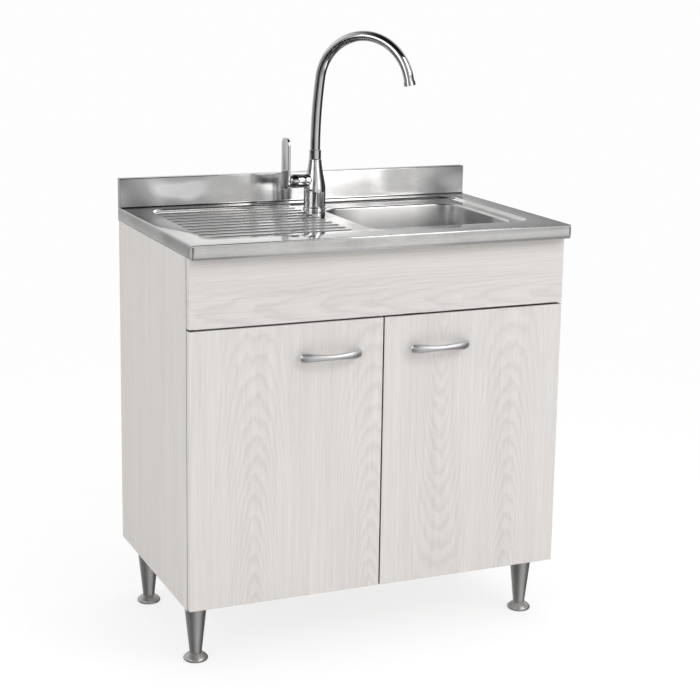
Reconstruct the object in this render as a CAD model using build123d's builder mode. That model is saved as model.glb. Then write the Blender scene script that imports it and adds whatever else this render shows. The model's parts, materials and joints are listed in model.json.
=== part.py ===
from build123d import *
import math
import os

# Free-standing kitchen sink unit. Millimetres, +Z up, +X to the right, the doors face -Y.
# The origin is on the floor, under the middle of the unit's outline.
os.makedirs("parts", exist_ok=True)

# ---------------------------------------------------------------- worktop
worktop_width = 800
worktop_depth = 500
worktop_height = 850
lip_height = 28
sheet = 1.0
edge_radius = 1.5
backsplash_height = 62
backsplash_thickness = 20
corner_slit = 3.4
slit_top_land = 4
slit_bottom_land = 5

recess_depth = 4
recess_margin_side = 48
recess_margin_front = 70
recess_margin_back = 32
recess_corner = 38
recess_slope = 45

rib_count = 11
rib_width = 14
rib_height = 2.4
rib_slope = 45
rib_front_land = 28
rib_back_land = 14
rib_left_margin = -3
rib_to_bowl = 34

# ---------------------------------------------------------------- bowl
bowl_width = 314
bowl_depth = 150
bowl_corner = 44
bowl_centre_x = 161
bowl_front_land = 6
bowl_back_land = 66
bowl_flange = 6
bowl_taper = 3
bowl_floor_radius = 30
bowl_rim_radius = 3.5

# ---------------------------------------------------------------- carcass
panel = 16
carcass_clearance = 0.3
leg_height = 125
door_setback = 23
front_gap = 3
centre_gap = 3
fascia_gap = 4
door_top_below_worktop = 167
door_bottom_rise = 5.5
panel_edge_radius = 0.8

rail_height = 90
rail_top_drop = 7
back_rail_height = 70
back_panel_thickness = 3
back_panel_inset = 8
back_panel_height = 350
groove_depth = 7
groove_clearance = 0.1

cam_radius = 7.5
cam_depth = 12.5
cam_from_end = 34
cam_bolt_radius = 3.5
cam_bolt_in_side = 11
cam_row_spacing = 220

fascia_screw_spacing = 180
fascia_screw_count = 4
fascia_screw_rise = 109
screw_radius = 2
screw_hole_clearance = 0.2
screw_head_radius = 4
screw_head_height = 2
fascia_screw_grip = 10
spacer_radius = 8

bracket_width = 30
bracket_leg = 26
bracket_thickness = 2
bracket_from_front = 150
bracket_spacing = 240

# ---------------------------------------------------------------- legs and feet
leg_top_radius = 23.3
leg_bottom_radius = 12.1
leg_side_inset = 35
leg_front_inset = 94
leg_back_inset = 82
leg_stud_radius = 4
leg_stud_length = 10
insert_radius = 7
insert_length = 12

foot_radius = 24.7
foot_edge_height = 5
foot_height = 16
foot_neck_radius = 11.6
foot_stud_radius = 5
foot_stud_length = 60
stud_end_clearance = 2
running_clearance = 0.1

# ---------------------------------------------------------------- hinges
hinge_height_offset = 90
cup_radius = 17.5
cup_wall = 1
cup_depth = 12
cup_floor = 0.8
cup_edge_distance = 4.5
cup_ear_height = 62
cup_ear_width = 16
cup_ear_thickness = 1.2
link_pivot_inset = 44
link_pivot_back = 20
link_length = 32
link_rest_angle = 193
link_half_width = 2.2
link_plate = 2
link_side_play = 0.3
hinge_pin_radius = 1.4
arm_half_height = 5
arm_length = 46
arm_plate_height = 46
arm_plate_length = 36
arm_plate_width = 22
arm_nose_rise = 3.3
arm_plate_thickness = 2.5

# ---------------------------------------------------------------- handles
handle_length = 126
handle_projection = 30
handle_from_centre = 117
handle_below_door_top = 65
handle_mid_half_height = 6.8
handle_end_half_height = 10.2
handle_half_thickness = 4.8
handle_post_spacing = 96
handle_post_radius = 5
handle_screw_grip = 7.5
handle_end_share = 0.93
handle_end_narrowing = 0.72
bumper_radius = 4
bumper_from_centre = 30
bumper_spacing = 280
bumper_below_board_top = 5

# ---------------------------------------------------------------- tap
tap_beside_bowl = 2
tap_from_recess_back = 68
tap_hole_radius = 17.5
tap_base_radius = 24.5
tap_base_height = 4
tap_base_edge = 1
tap_body_radius = 23.3
tap_body_height = 103
tap_body_straight = 34
tap_waist_radius = 13.6
tap_shank_radius = 16.5
tap_shank_length = 34
inlet_thread_radius = 5
inlet_thread_depth = 12
inlet_spacing = 16
tap_nut_radius = 22
tap_nut_height = 9
tap_washer_thickness = 3

barrel_height = 57
barrel_radius = 15
barrel_length = 26
cartridge_radius = 12.5
cartridge_length = 18
cartridge_nut_length = 4
cap_length = 33
cap_wall = 3
cap_end_cone = 9
cap_end_flat = 9.5
cap_hole_radius = 7.5
body_gap = 0.3
stem_radius = 4
stem_clearance = 1
cap_lip = 1
lever_gap = 3.5
lever_thickness = 6
lever_width = 40
lever_top_width = 37
lever_above_axis = 92
lever_below_axis = 16
lever_low_shoulder = 15
lever_high_shoulder = 13
lever_hub_wall = 2
lever_edge_radius = 2
lever_pivot_from_cap_end = 6
lever_pin_radius = 1.5
lever_pin_half_length = 11.5

collar_radius = 12.5
collar_height = 19
collar_edge = 0.8
spout_radius = 10.5
spout_wall = 1.5
spout_insert = 20
spout_straight_top = 125
spout_lean_radius = 1100
spout_lean_angle = 7.8
spout_arc_radius = 103
spout_arc_angle = 160.2
spout_tail = 11
spout_rest_azimuth = -50
aerator_radius = 12
aerator_length = 9
aerator_overlap = 4
aerator_recess = 1
aerator_hole_count = 8
aerator_hole_radius = 1.2
aerator_hole_circle = 5

# ---------------------------------------------------------------- waste and trap
waste_hole_radius = 42.5
waste_cup_radius = 42
waste_flange_radius = 56
waste_flange_thickness = 2
waste_cup_depth = 48
waste_wall = 1.2
waste_outlet_radius = 17.5
gasket_thickness = 3
waste_nut_height = 12
waste_nut_radius = 54
waste_nut_groove_count = 8
waste_nut_groove_radius = 3
tailpiece_length = 52
pipe_radius = 20
pipe_wall = 2.5
pipe_flange_radius = 26
pipe_flange_thickness = 4
trap_nut_radius = 28
trap_nut_length = 22
trap_nut_groove_count = 12
trap_nut_groove_radius = 1.5
trap_radius = 40
trap_height = 120
trap_wall = 2.5
trap_outlet_drop = 38
trap_cup_radius = 44
trap_cup_height = 42
trap_cup_overlap = 16
dip_pipe_gap = 30
dip_pipe_wall = 1.5
trap_cup_edge_radius = 6
spigot_radius = 19
spigot_beyond_nut = 6
spigot_cone = 6
outlet_back_clearance = 12
basket_radius = 38
basket_wall = 1.0
basket_depth = 30
basket_rim_radius = 45
basket_hole_radius = 2.2
basket_knob_radius = 8
basket_knob_rise = 8
basket_knob_thickness = 4
basket_stem_radius = 4
basket_edge_radius = 2
basket_inner_circle = 17
basket_inner_holes = 8
basket_outer_circle = 27.4
basket_outer_holes = 14

# ---------------------------------------------------------------- derived places
handle_overhang = max(0, handle_projection - door_setback)
front_y = -worktop_depth / 2 + handle_overhang / 2
back_y = front_y + worktop_depth
mid_y = (front_y + back_y) / 2
half_width = worktop_width / 2

lip_bottom = worktop_height - lip_height
deck_underside = worktop_height - sheet
recess_floor = worktop_height - recess_depth
recess_left = -half_width + recess_margin_side
recess_right = half_width - recess_margin_side
recess_front = front_y + recess_margin_front
recess_back = back_y - backsplash_thickness - recess_margin_back

side_out = half_width - sheet - carcass_clearance
side_in = side_out - panel
carcass_back = back_y - sheet - carcass_clearance
door_face = front_y + door_setback
door_back = door_face + panel
carcass_front = door_back + front_gap
carcass_bottom = leg_height
board_top = carcass_bottom + panel
back_panel_y = carcass_back - back_panel_inset - back_panel_thickness
door_bottom = carcass_bottom + door_bottom_rise
door_top = worktop_height - door_top_below_worktop
door_height = door_top - door_bottom
door_width = side_out - centre_gap / 2
rail_top = worktop_height - rail_top_drop

recess_length = recess_back - recess_front
bowl_length = recess_length - bowl_front_land - bowl_back_land - 2 * bowl_flange
bowl_centre_y = recess_front + bowl_front_land + bowl_flange + bowl_length / 2
bowl_edge_left = bowl_centre_x - bowl_width / 2 - bowl_flange
bowl_floor = recess_floor - bowl_depth
bowl_underside = bowl_floor - sheet

tap_x = bowl_edge_left - tap_beside_bowl
tap_y = recess_back - tap_from_recess_back
tap_base_top = recess_floor + tap_base_height
barrel_z = tap_base_top + barrel_height
tap_body_top = tap_base_top + tap_body_height
barrel_end_x = tap_x - barrel_length

leg_places = {
    "front_left": (-half_width + leg_side_inset, front_y + leg_front_inset),
    "front_right": (half_width - leg_side_inset, front_y + leg_front_inset),
    "back_left": (-half_width + leg_side_inset, back_y - leg_back_inset),
    "back_right": (half_width - leg_side_inset, back_y - leg_back_inset),
}
cam_rows = [mid_y - cam_row_spacing / 2, mid_y + cam_row_spacing / 2]
hinge_heights = [door_bottom + hinge_height_offset, door_top - hinge_height_offset]
fascia_bottom = door_top + fascia_gap
fascia_screw_z = fascia_bottom + fascia_screw_rise
first_screw_x = -(fascia_screw_count - 1) / 2 * fascia_screw_spacing
fascia_screw_xs = [first_screw_x + i * fascia_screw_spacing for i in range(fascia_screw_count)]
front_rail_z = rail_top - rail_height / 2
back_rail_z = rail_top - back_rail_height / 2
back_rail_y = carcass_back - panel

# ---------------------------------------------------------------- steel worktop
with BuildPart() as worktop:
    with BuildSketch(Plane.XY.offset(lip_bottom)):
        with Locations((0, mid_y)):
            Rectangle(worktop_width, worktop_depth)
    extrude(amount=lip_height)
    with BuildSketch(Plane.XY.offset(worktop_height)):
        with Locations((0, back_y - backsplash_thickness / 2)):
            Rectangle(worktop_width, backsplash_thickness)
    extrude(amount=backsplash_height)
    top_edges = worktop.faces().filter_by(Axis.Z).sort_by(Axis.Z)[-1].edges()
    deck_edges = worktop.edges().filter_by_position(Axis.Z, worktop_height - 0.1, worktop_height + 0.1)
    deck_rim = deck_edges.filter_by_position(Axis.Y, front_y - 0.1, back_y - backsplash_thickness - 0.1)
    fillet(list(top_edges) + list(deck_rim), radius=edge_radius)
    # the sheet is folded, so the inside is open from below
    with BuildSketch(Plane.XY.offset(lip_bottom)):
        with Locations((0, mid_y)):
            Rectangle(worktop_width - 2 * sheet, worktop_depth - 2 * sheet)
    extrude(amount=lip_height - sheet, mode=Mode.SUBTRACT)
    with BuildSketch(Plane.XY.offset(deck_underside)):
        with Locations((0, back_y - backsplash_thickness / 2)):
            Rectangle(worktop_width - 2 * sheet, backsplash_thickness - 2 * sheet)
    extrude(amount=backsplash_height, mode=Mode.SUBTRACT)
    # pressed recess with sloping walls
    recess_width = recess_right - recess_left
    with BuildSketch(Plane.XY.offset(deck_underside)):
        with Locations(((recess_left + recess_right) / 2, (recess_front + recess_back) / 2)):
            RectangleRounded(recess_width, recess_length, recess_corner)
    extrude(amount=-recess_depth, taper=recess_slope)
    with BuildSketch(Plane.XY.offset(worktop_height)):
        with Locations(((recess_left + recess_right) / 2, (recess_front + recess_back) / 2)):
            RectangleRounded(
                recess_width - 2 * sheet * (math.sqrt(2) - 1),
                recess_length - 2 * sheet * (math.sqrt(2) - 1),
                recess_corner,
            )
    extrude(amount=-recess_depth, taper=recess_slope, mode=Mode.SUBTRACT)
    # drainer ribs pressed up from the recess floor
    rib_left_end = recess_left + recess_depth + rib_left_margin
    rib_right_end = bowl_edge_left - rib_to_bowl
    rib_length = rib_right_end - rib_left_end
    first_rib_y = recess_front + rib_front_land
    rib_pitch = (recess_length - rib_front_land - rib_back_land) / (rib_count - 1)
    rib_x = (rib_left_end + rib_right_end) / 2
    rib_places = [(rib_x, first_rib_y + i * rib_pitch) for i in range(rib_count)]
    groove_shrink = 2 * sheet * (math.sqrt(2) - 1)
    with BuildSketch(Plane.XY.offset(recess_floor)):
        with Locations(*rib_places):
            SlotOverall(rib_length, rib_width)
    extrude(amount=rib_height, taper=rib_slope)
    with BuildSketch(Plane.XY.offset(recess_floor - sheet)):
        with Locations(*rib_places):
            SlotOverall(rib_length - groove_shrink, rib_width - groove_shrink)
    extrude(amount=rib_height, taper=rib_slope, mode=Mode.SUBTRACT)
    # openings for the bowl and the tap
    with BuildSketch(Plane.XY.offset(recess_floor)):
        with Locations((bowl_centre_x, bowl_centre_y)):
            RectangleRounded(
                bowl_width + 2 * bowl_flange, bowl_length + 2 * bowl_flange, bowl_corner + bowl_flange
            )
        with Locations((tap_x, tap_y)):
            Circle(tap_hole_radius)
    extrude(amount=-sheet, mode=Mode.SUBTRACT)
    # open corner folds at the front
    slit_height = lip_height - slit_top_land - slit_bottom_land
    slit_x = half_width - sheet - corner_slit / 2
    with BuildSketch(Plane.XY.offset(lip_bottom + slit_bottom_land)):
        with Locations((-slit_x, front_y + sheet / 2), (slit_x, front_y + sheet / 2)):
            Rectangle(corner_slit, sheet)
    extrude(amount=slit_height, mode=Mode.SUBTRACT)
worktop.part.label = "worktop"
export_step(worktop.part, "parts/worktop.step")

# ---------------------------------------------------------------- welded bowl
with BuildPart() as bowl_cavity:
    with BuildSketch(Plane.XY.offset(recess_floor)):
        with Locations((bowl_centre_x, bowl_centre_y)):
            RectangleRounded(bowl_width, bowl_length, bowl_corner)
    extrude(amount=-bowl_depth, taper=bowl_taper)
    fillet(bowl_cavity.faces().sort_by(Axis.Z)[0].edges(), radius=bowl_floor_radius)

with BuildPart() as bowl:
    with BuildSketch(Plane.XY.offset(recess_floor)):
        with Locations((bowl_centre_x, bowl_centre_y)):
            RectangleRounded(bowl_width + 2 * sheet, bowl_length + 2 * sheet, bowl_corner + sheet)
    extrude(amount=-(bowl_depth + sheet), taper=bowl_taper)
    fillet(bowl.faces().sort_by(Axis.Z)[0].edges(), radius=bowl_floor_radius + sheet)
    with BuildSketch(Plane.XY.offset(recess_floor)):
        with Locations((bowl_centre_x, bowl_centre_y)):
            RectangleRounded(
                bowl_width + 2 * bowl_flange, bowl_length + 2 * bowl_flange, bowl_corner + bowl_flange
            )
    extrude(amount=-sheet)
    add(bowl_cavity.part, mode=Mode.SUBTRACT)
    flange_under = bowl.faces().filter_by(Axis.Z).group_by(Axis.Z)[-2].sort_by(SortBy.AREA)[-1]
    fillet(flange_under.inner_wires()[0].edges(), radius=bowl_rim_radius - sheet)
    rim_face = bowl.faces().filter_by(Axis.Z).group_by(Axis.Z)[-1].sort_by(SortBy.AREA)[-1]
    fillet(rim_face.inner_wires()[0].edges(), radius=bowl_rim_radius)
    with BuildSketch(Plane.XY.offset(bowl_floor)):
        with Locations((bowl_centre_x, bowl_centre_y)):
            Circle(waste_hole_radius)
    extrude(amount=-sheet, mode=Mode.SUBTRACT)
bowl.part.label = "bowl"
export_step(bowl.part, "parts/bowl.step")


# ---------------------------------------------------------------- carcass boards
def side_panel(side, label):
    """One end board: grooved for the back panel, bored for the cam bolts."""
    with BuildPart() as board:
        with BuildSketch(Plane.XY.offset(carcass_bottom)):
            with Locations((side * (side_in + side_out) / 2, (carcass_front + carcass_back) / 2)):
                Rectangle(panel, carcass_back - carcass_front)
        extrude(amount=deck_underside - carcass_bottom)
        with BuildSketch(Plane.XY.offset(carcass_bottom)):
            with Locations((side * (side_in + groove_depth / 2), back_panel_y + back_panel_thickness / 2)):
                Rectangle(groove_depth, back_panel_thickness + 2 * groove_clearance)
        extrude(amount=back_panel_height + groove_clearance, mode=Mode.SUBTRACT)
        # blind bores for the cam bolts
        bolt_places = [(y, carcass_bottom + panel / 2) for y in cam_rows]
        bolt_places += [(carcass_front + panel / 2, front_rail_z), (back_rail_y + panel / 2, back_rail_z)]
        with BuildSketch(Plane.YZ.offset(side * side_in)):
            with Locations(*bolt_places):
                Circle(cam_bolt_radius)
        extrude(amount=side * cam_bolt_in_side, mode=Mode.SUBTRACT)
    board.part.label = label
    export_step(board.part, f"parts/{label}.step")
    return board.part


for side, label in ((-1, "side_panel_left"), (1, "side_panel_right")):
    side_panel(side, label)

cam_centre_x = side_in - cam_from_end
with BuildPart() as bottom_panel:
    with BuildSketch(Plane.XY.offset(carcass_bottom)):
        with Locations((0, (carcass_front + back_panel_y) / 2)):
            Rectangle(2 * side_in, back_panel_y - carcass_front)
    extrude(amount=panel)
    with BuildSketch(Plane.XY.offset(board_top)):
        with Locations(*[(s * cam_centre_x, y) for s in (-1, 1) for y in cam_rows]):
            Circle(cam_radius)
    extrude(amount=-cam_depth, mode=Mode.SUBTRACT)
    with BuildSketch(Plane.XY.offset(carcass_bottom)):
        with Locations(*leg_places.values()):
            Circle(insert_radius)
    extrude(amount=insert_length, mode=Mode.SUBTRACT)
    for s in (-1, 1):
        with BuildSketch(Plane.YZ.offset(s * side_in)):
            with Locations(*[(y, carcass_bottom + panel / 2) for y in cam_rows]):
                Circle(cam_bolt_radius)
        extrude(amount=-s * cam_from_end, mode=Mode.SUBTRACT)
bottom_panel.part.label = "bottom_panel"
export_step(bottom_panel.part, "parts/bottom_panel.step")

with BuildPart() as back_panel:
    with BuildSketch(Plane.XY.offset(carcass_bottom)):
        with Locations((0, back_panel_y + back_panel_thickness / 2)):
            Rectangle(2 * (side_in + groove_depth - groove_clearance), back_panel_thickness)
    extrude(amount=back_panel_height)
back_panel.part.label = "back_panel"
export_step(back_panel.part, "parts/back_panel.step")


def rail(y_front, z_middle, height, cam_face_y, cam_direction, label):
    """One cross rail between the end boards, bored for its cams, cam bolts and screws."""
    with BuildPart() as board:
        with BuildSketch(Plane.XY.offset(z_middle - height / 2)):
            with Locations((0, y_front + panel / 2)):
                Rectangle(2 * side_in, panel)
        extrude(amount=height)
        with BuildSketch(Plane.XZ.offset(-cam_face_y)):
            with Locations((-cam_centre_x, z_middle), (cam_centre_x, z_middle)):
                Circle(cam_radius)
        extrude(amount=cam_direction * cam_depth, mode=Mode.SUBTRACT)
        for s in (-1, 1):
            with BuildSketch(Plane.YZ.offset(s * side_in)):
                with Locations((y_front + panel / 2, z_middle)):
                    Circle(cam_bolt_radius)
            extrude(amount=-s * cam_from_end, mode=Mode.SUBTRACT)
        if label == "front_rail":
            with BuildSketch(Plane.XZ.offset(-y_front)):
                with Locations(*[(x, fascia_screw_z) for x in fascia_screw_xs]):
                    Circle(screw_radius + screw_hole_clearance)
            extrude(amount=-panel, mode=Mode.SUBTRACT)
    board.part.label = label
    export_step(board.part, f"parts/{label}.step")
    return board.part


rail(carcass_front, front_rail_z, rail_height, carcass_front + panel, 1, "front_rail")
rail(back_rail_y, back_rail_z, back_rail_height, back_rail_y, -1, "back_rail")

with BuildPart() as cam_housings:
    with BuildSketch(Plane.XY.offset(board_top)):
        with Locations(*[(s * cam_centre_x, y) for s in (-1, 1) for y in cam_rows]):
            Circle(cam_radius)
    extrude(amount=-cam_depth)
    with BuildSketch(Plane.XZ.offset(-(carcass_front + panel))):
        with Locations((-cam_centre_x, front_rail_z), (cam_centre_x, front_rail_z)):
            Circle(cam_radius)
    extrude(amount=cam_depth)
    with BuildSketch(Plane.XZ.offset(-back_rail_y)):
        with Locations((-cam_centre_x, back_rail_z), (cam_centre_x, back_rail_z)):
            Circle(cam_radius)
    extrude(amount=-cam_depth)
    # cross slots for the screwdriver
    with BuildSketch(Plane.XY.offset(board_top)):
        with Locations(*[(s * cam_centre_x, y) for s in (-1, 1) for y in cam_rows]):
            Rectangle(cam_radius, screw_radius)
            Rectangle(screw_radius, cam_radius)
    extrude(amount=-screw_radius, mode=Mode.SUBTRACT)
cam_housings.part.label = "cam_housings"
export_step(cam_housings.part, "parts/cam_housings.step")

cam_bolt_length = cam_from_end - cam_radius + cam_bolt_in_side
cam_bolt_places = [(y, carcass_bottom + panel / 2) for y in cam_rows]
cam_bolt_places += [(carcass_front + panel / 2, front_rail_z), (back_rail_y + panel / 2, back_rail_z)]
with BuildPart() as cam_bolts:
    for s in (-1, 1):
        with BuildSketch(Plane.YZ.offset(s * (side_in + cam_bolt_in_side))):
            with Locations(*cam_bolt_places):
                Circle(cam_bolt_radius)
        extrude(amount=-s * cam_bolt_length)
    # each bolt ends where its cam begins
    with BuildSketch(Plane.XY.offset(board_top)):
        with Locations(*[(s * cam_centre_x, y) for s in (-1, 1) for y in cam_rows]):
            Circle(cam_radius)
    extrude(amount=-panel, mode=Mode.SUBTRACT)
    for plane_y in (carcass_front, back_rail_y):
        with BuildSketch(Plane.XZ.offset(-plane_y)):
            with Locations(*[(s * cam_centre_x, z) for s in (-1, 1) for z in (front_rail_z, back_rail_z)]):
                Circle(cam_radius)
        extrude(amount=-panel, mode=Mode.SUBTRACT)
cam_bolts.part.label = "cam_bolts"
export_step(cam_bolts.part, "parts/cam_bolts.step")

# ---------------------------------------------------------------- fixed fascia
with BuildPart() as fascia_panel:
    with BuildSketch(Plane.XY.offset(fascia_bottom)):
        with Locations((0, (door_face + door_back) / 2)):
            Rectangle(2 * side_out, panel)
    extrude(amount=rail_top - fascia_bottom)
    chamfer(fascia_panel.edges().group_by(Axis.Y)[0], length=panel_edge_radius)
    with BuildSketch(Plane.XZ.offset(-door_back)):
        with Locations(*[(x, fascia_screw_z) for x in fascia_screw_xs]):
            Circle(screw_radius)
    extrude(amount=fascia_screw_grip, mode=Mode.SUBTRACT)
fascia_panel.part.label = "fascia_panel"
export_step(fascia_panel.part, "parts/fascia_panel.step")

with BuildPart() as fascia_spacers:
    with BuildSketch(Plane.XZ.offset(-door_back)):
        with Locations(*[(x, fascia_screw_z) for x in fascia_screw_xs]):
            Circle(spacer_radius)
            Circle(screw_radius + screw_hole_clearance, mode=Mode.SUBTRACT)
    extrude(amount=-front_gap)
fascia_spacers.part.label = "fascia_spacers"
export_step(fascia_spacers.part, "parts/fascia_spacers.step")

with BuildPart() as fascia_screws:
    with BuildSketch(Plane.XZ.offset(-(carcass_front + panel))):
        with Locations(*[(x, fascia_screw_z) for x in fascia_screw_xs]):
            Circle(screw_radius)
    extrude(amount=panel + front_gap + fascia_screw_grip)
    with BuildSketch(Plane.XZ.offset(-(carcass_front + panel))):
        with Locations(*[(x, fascia_screw_z) for x in fascia_screw_xs]):
            Circle(screw_head_radius)
    extrude(amount=-screw_head_height)
fascia_screws.part.label = "fascia_screws"
export_step(fascia_screws.part, "parts/fascia_screws.step")

# ---------------------------------------------------------------- worktop brackets
bracket_ys = [front_y + bracket_from_front, front_y + bracket_from_front + bracket_spacing]
with BuildPart() as worktop_brackets:
    for s in (-1, 1):
        with BuildSketch(Plane.XY.offset(deck_underside - bracket_leg)):
            with Locations(*[(s * (side_in - bracket_thickness / 2), y) for y in bracket_ys]):
                Rectangle(bracket_thickness, bracket_width)
        extrude(amount=bracket_leg)
        with BuildSketch(Plane.XY.offset(deck_underside - bracket_thickness)):
            with Locations(*[(s * (side_in - bracket_leg / 2), y) for y in bracket_ys]):
                Rectangle(bracket_leg, bracket_width)
        extrude(amount=bracket_thickness)
worktop_brackets.part.label = "worktop_brackets"
export_step(worktop_brackets.part, "parts/worktop_brackets.step")

# ---------------------------------------------------------------- legs and levelling feet
with BuildPart() as leg_inserts:
    with BuildSketch(Plane.XY.offset(carcass_bottom)):
        with Locations(*leg_places.values()):
            Circle(insert_radius)
            Circle(leg_stud_radius, mode=Mode.SUBTRACT)
    extrude(amount=insert_length)
leg_inserts.part.label = "leg_inserts"
export_step(leg_inserts.part, "parts/leg_inserts.step")


def leg(x, y, label):
    """Tapered tube leg with its top stud. The bore below takes the foot's threaded stud."""
    with BuildPart() as post:
        with BuildSketch(Plane.XY.offset(leg_height)):
            with Locations((x, y)):
                Circle(leg_top_radius)
        with BuildSketch(Plane.XY.offset(foot_height)):
            with Locations((x, y)):
                Circle(leg_bottom_radius)
        loft()
        with BuildSketch(Plane.XY.offset(leg_height)):
            with Locations((x, y)):
                Circle(leg_stud_radius)
        extrude(amount=leg_stud_length)
        with BuildSketch(Plane.XY.offset(foot_height)):
            with Locations((x, y)):
                Circle(foot_stud_radius + running_clearance)
        extrude(amount=foot_stud_length + stud_end_clearance, mode=Mode.SUBTRACT)
    post.part.label = label
    export_step(post.part, f"parts/{label}.step")
    return post.part


def foot(x, y, label):
    """Domed levelling foot with its stud."""
    with BuildPart() as pad:
        with BuildSketch(Plane.XZ.offset(-y)):
            with BuildLine():
                rim = (x + foot_radius, foot_edge_height)
                sole = (x + foot_radius - foot_edge_height, 0)
                neck = (x + foot_neck_radius, foot_height)
                Polyline((x, foot_height), (x, 0), sole)
                TangentArc(sole, rim, tangent=(1, 0))
                Spline(rim, neck, tangents=((-0.25, 1), (-1, 0.55)))
                Line(neck, (x, foot_height))
            make_face()
        revolve(axis=Axis((x, y, 0), (0, 0, 1)))
        with BuildSketch(Plane.XY.offset(foot_height)):
            with Locations((x, y)):
                Circle(foot_stud_radius)
        extrude(amount=foot_stud_length)
    pad.part.label = label
    export_step(pad.part, f"parts/{label}.step")
    return pad.part


for place, (x, y) in leg_places.items():
    leg(x, y, f"leg_{place}")
    foot(x, y, f"foot_{place}")


# ---------------------------------------------------------------- doors
cup_centre_inset = cup_edge_distance + cup_radius


def door(side, label):
    """One door leaf, bored for its hinge cups and handle screws."""
    outer = side * side_out
    inner = side * (side_out - door_width)
    handle_x = side * handle_from_centre
    handle_z = door_top - handle_below_door_top
    with BuildPart() as leaf:
        with BuildSketch(Plane.XY.offset(door_bottom)):
            with Locations(((outer + inner) / 2, (door_face + door_back) / 2)):
                Rectangle(door_width, panel)
        extrude(amount=door_height)
        chamfer(leaf.edges().group_by(Axis.Y)[0], length=panel_edge_radius)
        with BuildSketch(Plane.XZ.offset(-door_back)):
            with Locations(*[(outer - side * cup_centre_inset, z) for z in hinge_heights]):
                Circle(cup_radius)
        extrude(amount=cup_depth, mode=Mode.SUBTRACT)
        with BuildSketch(Plane.XZ.offset(-door_back)):
            with Locations(*[(handle_x + s * handle_post_spacing / 2, handle_z) for s in (-1, 1)]):
                Circle(screw_radius + screw_hole_clearance)
        extrude(amount=panel, mode=Mode.SUBTRACT)
    leaf.part.label = label
    export_step(leaf.part, f"parts/{label}.step")
    return leaf.part


def hinge_cups(side, label):
    """The two cups pressed into one door, with their screw ears on its back face."""
    centre_x = side * (side_out - cup_centre_inset)
    with BuildPart() as cups:
        with BuildSketch(Plane.XZ.offset(-door_back)):
            with Locations(*[(centre_x, z) for z in hinge_heights]):
                Circle(cup_radius)
        extrude(amount=cup_depth)
        with BuildSketch(Plane.XZ.offset(-door_back)):
            with Locations(*[(centre_x, z) for z in hinge_heights]):
                SlotOverall(cup_ear_height, cup_ear_width, rotation=90)
        extrude(amount=-cup_ear_thickness)
        with BuildSketch(Plane.XZ.offset(-(door_back + cup_ear_thickness))):
            with Locations(*[(centre_x, z) for z in hinge_heights]):
                Circle(cup_radius - cup_wall)
        extrude(amount=cup_depth - cup_floor + cup_ear_thickness, mode=Mode.SUBTRACT)
    cups.part.label = label
    export_step(cups.part, f"parts/{label}.step")
    return cups.part


def hinge_links(side, label):
    """The swinging links of one door's hinges: two fork plates and a cross bar in the cup."""
    pivot = (side * (side_out - link_pivot_inset), door_face + link_pivot_back)
    reach = link_length * math.cos(math.radians(link_rest_angle))
    drop = link_length * math.sin(math.radians(link_rest_angle))
    tip = (pivot[0] - side * reach, pivot[1] + drop)
    middle = ((pivot[0] + tip[0]) / 2, (pivot[1] + tip[1]) / 2)
    angle = math.degrees(math.atan2(tip[1] - pivot[1], tip[0] - pivot[0]))
    inner_gap = arm_half_height + link_side_play
    with BuildPart() as links:
        for z in hinge_heights:
            for plate_z in (z + inner_gap, z - inner_gap - link_plate):
                with BuildSketch(Plane.XY.offset(plate_z)):
                    with Locations(middle):
                        SlotCenterToCenter(link_length, 2 * link_half_width, rotation=angle)
                    with Locations(pivot):
                        Circle(hinge_pin_radius + running_clearance, mode=Mode.SUBTRACT)
                extrude(amount=link_plate)
            with BuildSketch(Plane.XY.offset(z - inner_gap)):
                with Locations(tip):
                    Circle(link_half_width)
            extrude(amount=2 * inner_gap)
    links.part.label = label
    export_step(links.part, f"parts/{label}.step")
    return links.part


for side, name in ((-1, "left"), (1, "right")):
    door(side, f"door_{name}")
    hinge_cups(side, f"hinge_cups_{name}")
    hinge_links(side, f"hinge_links_{name}")

with BuildPart() as hinge_arms:
    for side in (-1, 1):
        pivot_x = side * (side_out - link_pivot_inset)
        pivot_y = door_face + link_pivot_back
        wall_x = side * side_in
        plate_front = carcass_front + arm_length - arm_plate_length
        arm_depth = side_in - arm_plate_thickness - abs(pivot_x)
        for z in hinge_heights:
            with BuildSketch(Plane.YZ.offset(wall_x)):
                with Locations((plate_front + arm_plate_length / 2, z)):
                    SlotOverall(arm_plate_height, arm_plate_width, rotation=90)
                    Rectangle(arm_plate_length, 2 * arm_half_height)
            extrude(amount=-side * arm_plate_thickness)
            with BuildSketch(Plane.XY.offset(z - arm_half_height)):
                with BuildLine():
                    base_x = wall_x - side * arm_plate_thickness
                    nose = link_half_width
                    Polyline(
                        (base_x, carcass_front + arm_length),
                        (base_x, carcass_front + arm_length / 2),
                        (pivot_x + side * nose, pivot_y + arm_nose_rise),
                        (pivot_x + side * nose, pivot_y),
                        (pivot_x - side * nose, pivot_y),
                        (pivot_x - side * nose, carcass_front + arm_length / 3),
                        (base_x - side * arm_depth / 2, carcass_front + arm_length),
                        close=True,
                    )
                make_face()
                with Locations((pivot_x, pivot_y)):
                    Circle(nose)
                    Circle(hinge_pin_radius, mode=Mode.SUBTRACT)
            extrude(amount=2 * arm_half_height)
hinge_arms.part.label = "hinge_arms"
export_step(hinge_arms.part, "parts/hinge_arms.step")

pin_half = arm_half_height + link_side_play + link_plate
link_pivots = [(s * (side_out - link_pivot_inset), door_face + link_pivot_back) for s in (-1, 1)]
with BuildPart() as hinge_pins:
    for z in hinge_heights:
        with BuildSketch(Plane.XY.offset(z - pin_half)):
            with Locations(*link_pivots):
                Circle(hinge_pin_radius)
        extrude(amount=2 * pin_half)
hinge_pins.part.label = "hinge_pins"
export_step(hinge_pins.part, "parts/hinge_pins.step")


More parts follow.
